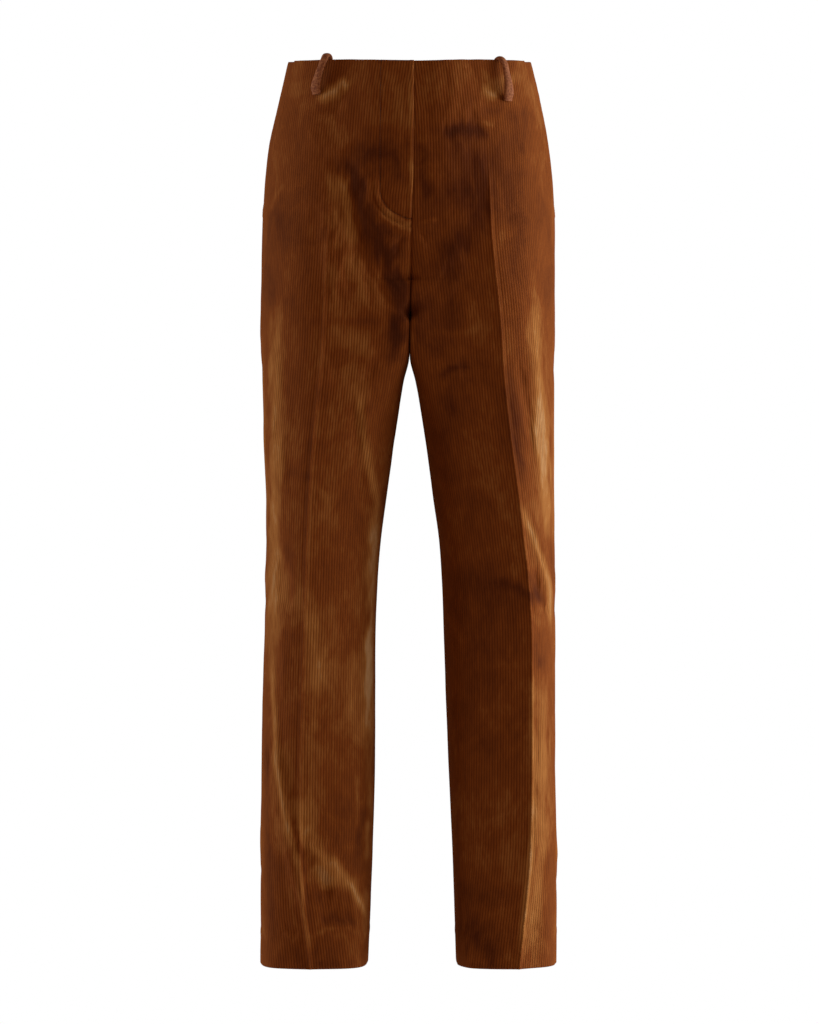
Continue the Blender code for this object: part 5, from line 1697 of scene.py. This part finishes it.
@dataclass(frozen=True)
class Corduroy:
    """Cut-pile cotton corduroy: soft ribs of pile, deep brown, and darker between them, partly as painted
    shade.

    The pile leans, so broad patches of it are lighter or darker. Strokes of painted light and shade lie over
    them, partly the way the pile lies, and its tips glow at a slant.
    """

    # Painted deep shade, painted shade, the pile's own colour, painted light and a painted highlight, partly
    # the way the pile lies. Then a darker colour between the ribs, partly painted shade, and the sheen's
    # tint.
    deep: str = "#421906"
    shaded: str = "#642B0B"
    pile: str = "#904716"
    brushed_and_painted_light: str = "#BC7436"
    painted_highlight: str = "#E2AB71"
    ground_and_groove_shade: str = "#481F08"
    sheen: str = "#E08D40"

    def material(self) -> Material:
        """Builds the material on the cloth's own map, in metres."""
        finish = {"Roughness": 0.88, "IOR": 1.46, "Specular IOR Level": 0.10}
        glow = {"Sheen Weight": 0.26, "Sheen Roughness": 0.38, "Sheen Tint": linear(self.sheen)}
        made, shader = blank("cotton_corduroy_cut_pile", {**finish, **glow})
        flat = add_node(made, "ShaderNodeUVMap", {"uv_map": "cloth"}).outputs[0]
        across = add_node(made, "ShaderNodeSeparateXYZ", {}, {0: flat}).outputs[0]
        # One rib is a half wave, WALE_PITCH wide.
        half_wave = {"operation": "MULTIPLY", 1: math.pi / WALE_PITCH}
        turn = add_node(made, "ShaderNodeMath", half_wave, {0: across})
        wave = add_node(made, "ShaderNodeMath", {"operation": "COSINE"}, {0: turn.outputs[0]})
        rib = add_node(made, "ShaderNodeMath", {"operation": "ABSOLUTE"}, {0: wave.outputs[0]})
        top = add_node(made, "ShaderNodeMath", {"operation": "POWER", 1: 0.42}, {0: rib.outputs[0]})
        # Patches of leaning pile, 40 mm across and 80 mm long. Streaks in single ribs, 3 mm across and 17 mm
        # long. Tufts of pile, drawn 0.9 mm across, coarser than they are, so that they show.
        patterns = []
        for scale, settings in (
            ((26.0, 13.0, 1.0), {"Detail": 5.0, "Roughness": 0.68, "Distortion": 0.6}),
            ((320.0, 60.0, 1.0), {"Detail": 3.0}),
            ((1100.0, 700.0, 1.0), {"Detail": 2.0}),
        ):
            at = add_node(made, "ShaderNodeMapping", {"Scale": scale}, {"Vector": flat})
            links = {"Vector": at.outputs[0]}
            noise = add_node(made, "ShaderNodeTexNoise", {"Scale": 1.0, **settings}, links)
            patterns.append(noise.outputs["Fac"])
        patch, streak, tuft = patterns
        # Painted light and shade from the strokes, partly the way the pile lies: a stroke of 1 moves the
        # colour by a quarter of its range. Patches and streaks come on top.
        strokes = add_node(made, "ShaderNodeAttribute", {"attribute_name": "nap_and_painted_light"})
        lean = strokes.outputs["Fac"]
        for shares, added in (({1: 0.25, 2: 0.13}, None), ({1: 0.49}, patch), ({1: 0.24}, streak)):
            settings = {"operation": "MULTIPLY_ADD", **shares}
            links = {0: added, 2: lean} if added else {0: lean}
            lean = add_node(made, "ShaderNodeMath", settings, links).outputs[0]
        # The ramp runs from painted deep shade and painted shade through the pile's own colour to painted
        # light and a painted highlight.
        mixed = add_node(made, "ShaderNodeValToRGB", {}, {0: lean})
        stops = mixed.color_ramp.elements
        stops[0].color, stops[1].color = linear(self.deep), linear(self.painted_highlight)
        for place, colour in ((0.25, self.shaded), (0.5, self.pile), (0.75, self.brushed_and_painted_light)):
            stops.new(place).color = linear(colour)
        # Between the ribs the colour falls to a darker one, partly less pile and partly painted shade in the
        # grooves.
        ribbed = add_node(
            made,
            "ShaderNodeMix",
            {"data_type": "RGBA", 6: linear(self.ground_and_groove_shade)},
            {0: top.outputs[0], 7: mixed.outputs[0]},
        )
        bump = add_node(made, "ShaderNodeBump", {"Strength": 0.5, "Distance": 0.0004}, {"Height": tuft})
        made.node_tree.links.new(ribbed.outputs[2], shader.inputs["Base Color"])
        made.node_tree.links.new(bump.outputs[0], shader.inputs["Normal"])
        return made


@dataclass(frozen=True)
class Twill:
    """The plain inner side of corduroy, a dull brown cotton twill with fine slanting lines."""

    thread: str = "#6E4426"
    shade: str = "#4A2A15"

    def material(self) -> Material:
        """Builds the material with slanting lines 1.2 mm apart, coarser than real so that they show."""
        made, shader = blank("cotton_twill_inner_side", {"Roughness": 0.92, "Specular IOR Level": 0.15})
        flat = add_node(made, "ShaderNodeUVMap", {"uv_map": "cloth"}).outputs[0]
        slant = add_node(made, "ShaderNodeMapping", {"Rotation": (0, 0, 0.9)}, {"Vector": flat})
        lines = add_node(
            made,
            "ShaderNodeTexWave",
            {"Scale": 2 * math.pi / 20 / 0.0012, "Distortion": 0.6},
            {"Vector": slant.outputs[0]},
        )
        colour = add_node(
            made,
            "ShaderNodeMix",
            {"data_type": "RGBA", 6: linear(self.shade), 7: linear(self.thread)},
            {0: lines.outputs["Fac"]},
        )
        bump = add_node(
            made, "ShaderNodeBump", {"Strength": 0.3, "Distance": 0.0002}, {"Height": lines.outputs["Fac"]}
        )
        made.node_tree.links.new(colour.outputs[2], shader.inputs["Base Color"])
        made.node_tree.links.new(bump.outputs[0], shader.inputs["Normal"])
        return made


@dataclass(frozen=True)
class Rouleau:
    """Cotton cut on the bias and rolled to a tube: a warmer, redder brown, fuzzy and matt."""

    cloth: str = "#B87044"
    shade: str = "#84462A"
    sheen: str = "#D88A58"

    def material(self) -> Material:
        """Builds the material with worn, mottled pile."""
        finish = {"Roughness": 0.85, "Specular IOR Level": 0.2}
        glow = {"Sheen Weight": 0.12, "Sheen Roughness": 0.4, "Sheen Tint": linear(self.sheen)}
        made, shader = blank("cotton_rouleau_rolled", {**finish, **glow})
        place = add_node(made, "ShaderNodeTexCoord", {}).outputs["Object"]
        # Worn patches 2.4 mm across, and fuzz drawn 0.7 mm across, coarser than it is, so that it shows.
        worn = add_node(made, "ShaderNodeTexNoise", {"Scale": 420.0, "Detail": 3.0}, {"Vector": place})
        fuzz = add_node(made, "ShaderNodeTexNoise", {"Scale": 1500.0, "Detail": 1.0}, {"Vector": place})
        share = add_node(
            made,
            "ShaderNodeMapRange",
            {"From Min": 0.35, "From Max": 0.65},
            {"Value": worn.outputs["Fac"]},
        )
        colour = add_node(
            made,
            "ShaderNodeMix",
            {"data_type": "RGBA", 6: linear(self.shade), 7: linear(self.cloth)},
            {0: share.outputs[0]},
        )
        bump = add_node(
            made, "ShaderNodeBump", {"Strength": 0.6, "Distance": 0.0004}, {"Height": fuzz.outputs["Fac"]}
        )
        made.node_tree.links.new(colour.outputs[2], shader.inputs["Base Color"])
        made.node_tree.links.new(bump.outputs[0], shader.inputs["Normal"])
        return made


@dataclass(frozen=True)
class Thread:
    """Spun polyester sewing thread, mid brown with a slight gloss."""

    colour: str = "#70401F"
    shade: str = "#4A2610"

    def material(self) -> Material:
        """Builds the material, flecked light and dark as its plies turn."""
        made, shader = blank("polyester_thread_spun", {"Roughness": 0.55})
        place = add_node(made, "ShaderNodeTexCoord", {}).outputs["Object"]
        # Flecks 0.4 mm long, as wide as the thread.
        ply = add_node(made, "ShaderNodeTexNoise", {"Scale": 2500.0}, {"Vector": place})
        colour = add_node(
            made,
            "ShaderNodeMix",
            {"data_type": "RGBA", 6: linear(self.shade), 7: linear(self.colour)},
            {0: ply.outputs["Fac"]},
        )
        made.node_tree.links.new(colour.outputs[2], shader.inputs["Base Color"])
        return made


@dataclass(frozen=True)
class PaleBackdrop:
    """Matt white seamless paper."""

    colour: str = "#FFFFFF"
    unlit: str = "#000000"

    def material(self) -> Material:
        """Builds the material, lit from behind so that it stays an even white."""
        finish = {"Base Color": linear(self.unlit), "Roughness": 1.0, "Specular IOR Level": 0.0}
        light = {"Emission Color": linear(self.colour), "Emission Strength": 1.0}
        return blank("paper_backdrop_white", {**finish, **light})[0]


class Lamp(NamedTuple):
    """A soft studio light: where it hangs, what it points at, its size, power and colour."""

    name: str
    place: tuple[float, float, float]
    target: tuple[float, float, float]
    size: tuple[float, float]
    power: float
    colour: str


@dataclass
class Studio:
    """A seamless pale floor, soft lights and the camera.

    Args:
        lamps: The lights.
        eye: The camera's place.
        span: The height in metres that the picture shows at the garment.
        floor: The floor's level.
        radius: The distance from the garment to the paper all round.
        height: The height of the paper.
        sweep: The radius in which the floor turns up into the wall.
        sky: The strength of the light from all round.
        air: Its colour.
        sensor: The height of the camera's sensor in millimetres.
    """

    lamps: Sequence[Lamp]
    eye: tuple[float, float, float] = (0.0, -4.0, -MIDDLE_DROP)
    span: float = 1.20832
    floor: float = -1.16
    radius: float = 8.0
    height: float = 9.0
    sweep: float = 1.5
    sky: float = 0.235
    air: str = "#FFE4CE"
    sensor: float = 24.0

    def build(self) -> None:
        """Sets up the floor, the lights, the light from all round and the camera."""
        self.backdrop()
        for lamp in self.lamps:
            self.light(lamp)
        world = bpy.data.worlds.new("studio_air")
        world.use_nodes = True
        background = world.node_tree.nodes["Background"]
        background.inputs["Color"].default_value = linear(self.air)
        background.inputs["Strength"].default_value = self.sky
        bpy.context.scene.world = world
        bpy.context.scene.view_settings.view_transform = "Standard"
        bpy.ops.object.select_all(action="DESELECT")
        bpy.ops.object.camera_add(location=self.eye, rotation=(math.pi / 2, 0, 0))
        camera = bpy.context.object
        camera.name = "camera_front"
        camera.data.sensor_fit = "VERTICAL"
        camera.data.sensor_height = self.sensor
        camera.data.lens = self.sensor * abs(self.eye[1]) / self.span
        bpy.context.scene.camera = camera

    def backdrop(self) -> None:
        """A round floor that sweeps up into a wall all round. It lights nothing and takes no shadow."""
        bpy.ops.object.select_all(action="DESELECT")
        bpy.ops.mesh.primitive_cylinder_add(
            vertices=96, radius=self.radius, depth=self.height, location=(0, 0, self.floor + self.height / 2)
        )
        paper = bpy.context.object
        paper.name = "paper_sweep"
        bpy.ops.object.transform_apply(location=True)
        low = self.floor + 0.001
        for edge in paper.data.edges:
            edge.select = all(paper.data.vertices[i].co.z < low for i in edge.vertices)
        bpy.ops.object.mode_set(mode="EDIT")
        bpy.ops.mesh.bevel(offset=self.sweep, segments=12, affect="EDGES")
        bpy.ops.mesh.select_all(action="SELECT")
        bpy.ops.mesh.normals_make_consistent(inside=True)
        bpy.ops.object.mode_set(mode="OBJECT")
        paper.data.shade_smooth()
        paper.data.materials.append(PaleBackdrop().material())
        paper.visible_diffuse = False
        paper.visible_glossy = False
        paper.visible_shadow = False

    def light(self, lamp: Lamp) -> None:
        """Hangs one light and points it."""
        bpy.ops.object.select_all(action="DESELECT")
        bpy.ops.object.light_add(type="AREA", location=lamp.place)
        made = bpy.context.object
        made.name = lamp.name
        aim = Vector(lamp.target) - Vector(lamp.place)
        made.rotation_euler = aim.to_track_quat("-Z", "Y").to_euler()
        made.data.shape = "RECTANGLE"
        made.data.size, made.data.size_y = lamp.size
        made.data.energy = lamp.power
        made.data.color = linear(lamp.colour)[:3]


GARMENT_MIDDLE = (0.0, 0.0, -0.5)
LAMP_SIZE = (1.2, 2.2)
LAMPS = (
    Lamp("key_left_of_wearer", (2.80, 0.00, -0.40), GARMENT_MIDDLE, LAMP_SIZE, 84.0, "#DCEEFF"),
    Lamp("key_front_left", (2.63, -0.96, -0.40), GARMENT_MIDDLE, LAMP_SIZE, 22.0, "#E6F2FF"),
    Lamp("fill_right_of_wearer", (-2.80, 0.00, -0.40), GARMENT_MIDDLE, LAMP_SIZE, 44.0, "#DCEEFF"),
)


def row_drops() -> Array:
    """The levels of the rows, closest together where the crotch curves."""
    drops = [0.0]
    for end, count in ROWS:
        t = np.arange(1, count + 1) / count
        if end == CROTCH_DROP:
            t = np.sin(t * np.pi / 2)
        drops.extend(drops[-1] + (end - drops[-1]) * t)
    return np.array(drops)


def fly_rows(form: HalfForm) -> list[tuple[Array, Array]]:
    """The fly's line of stitches, as points and normals, from just under the waist edge."""
    steps, first, rise = 120, 4, 0.0001
    line = evenly(fly_stitch_line(), steps)
    points, normals = [], []
    for distance, drop in line:
        row = int(np.clip(np.searchsorted(form.drops, drop), 1, len(form.drops) - 1))
        t = (drop - form.drops[row - 1]) / (form.drops[row] - form.drops[row - 1])
        above, below = (form.at(i, np.array([distance])) for i in (row - 1, row))
        normal = (1 - t) * above[1][0] + t * below[1][0]
        points.append((1 - t) * above[0][0] + t * below[0][0] + rise * normal)
        normals.append(normal)
    return [(np.array(points)[first:], np.array(normals)[first:])]


def main() -> None:
    """Builds the trousers piece by piece and sets them in the studio."""
    logging.basicConfig(level=logging.INFO, format="%(name)s %(message)s")
    Studio(LAMPS).build()
    corduroy, twill = Corduroy().material(), Twill().material()
    rolled, thread = Rouleau().material(), Thread().material()
    drops = row_drops()
    forms = {
        "right": HalfForm(Side.RIGHT, RIGHT_HALF, drops),
        "left": HalfForm(Side.LEFT, LEFT_HALF, drops),
    }
    for half, form in forms.items():
        Front(f"front_{half}_corduroy", f"front_{half}", form, corduroy, twill).build()
        Back(f"back_{half}_corduroy", f"back_{half}", form, corduroy, twill).build()
        HipPiece(f"hip_{half}_corduroy", f"pocket_{half}", form, corduroy, twill).build()
        if half == "right":
            FlyLap("fly_lap_corduroy", "fly_lap", form, corduroy, twill).build()
    for node, half, *places in BELT_LOOPS:
        BeltLoop(node, forms[half], *places, rolled).build()
    Stitching("fly_stitches", thread).sew(fly_rows(forms["right"]))


if __name__ == "__main__":
    main()
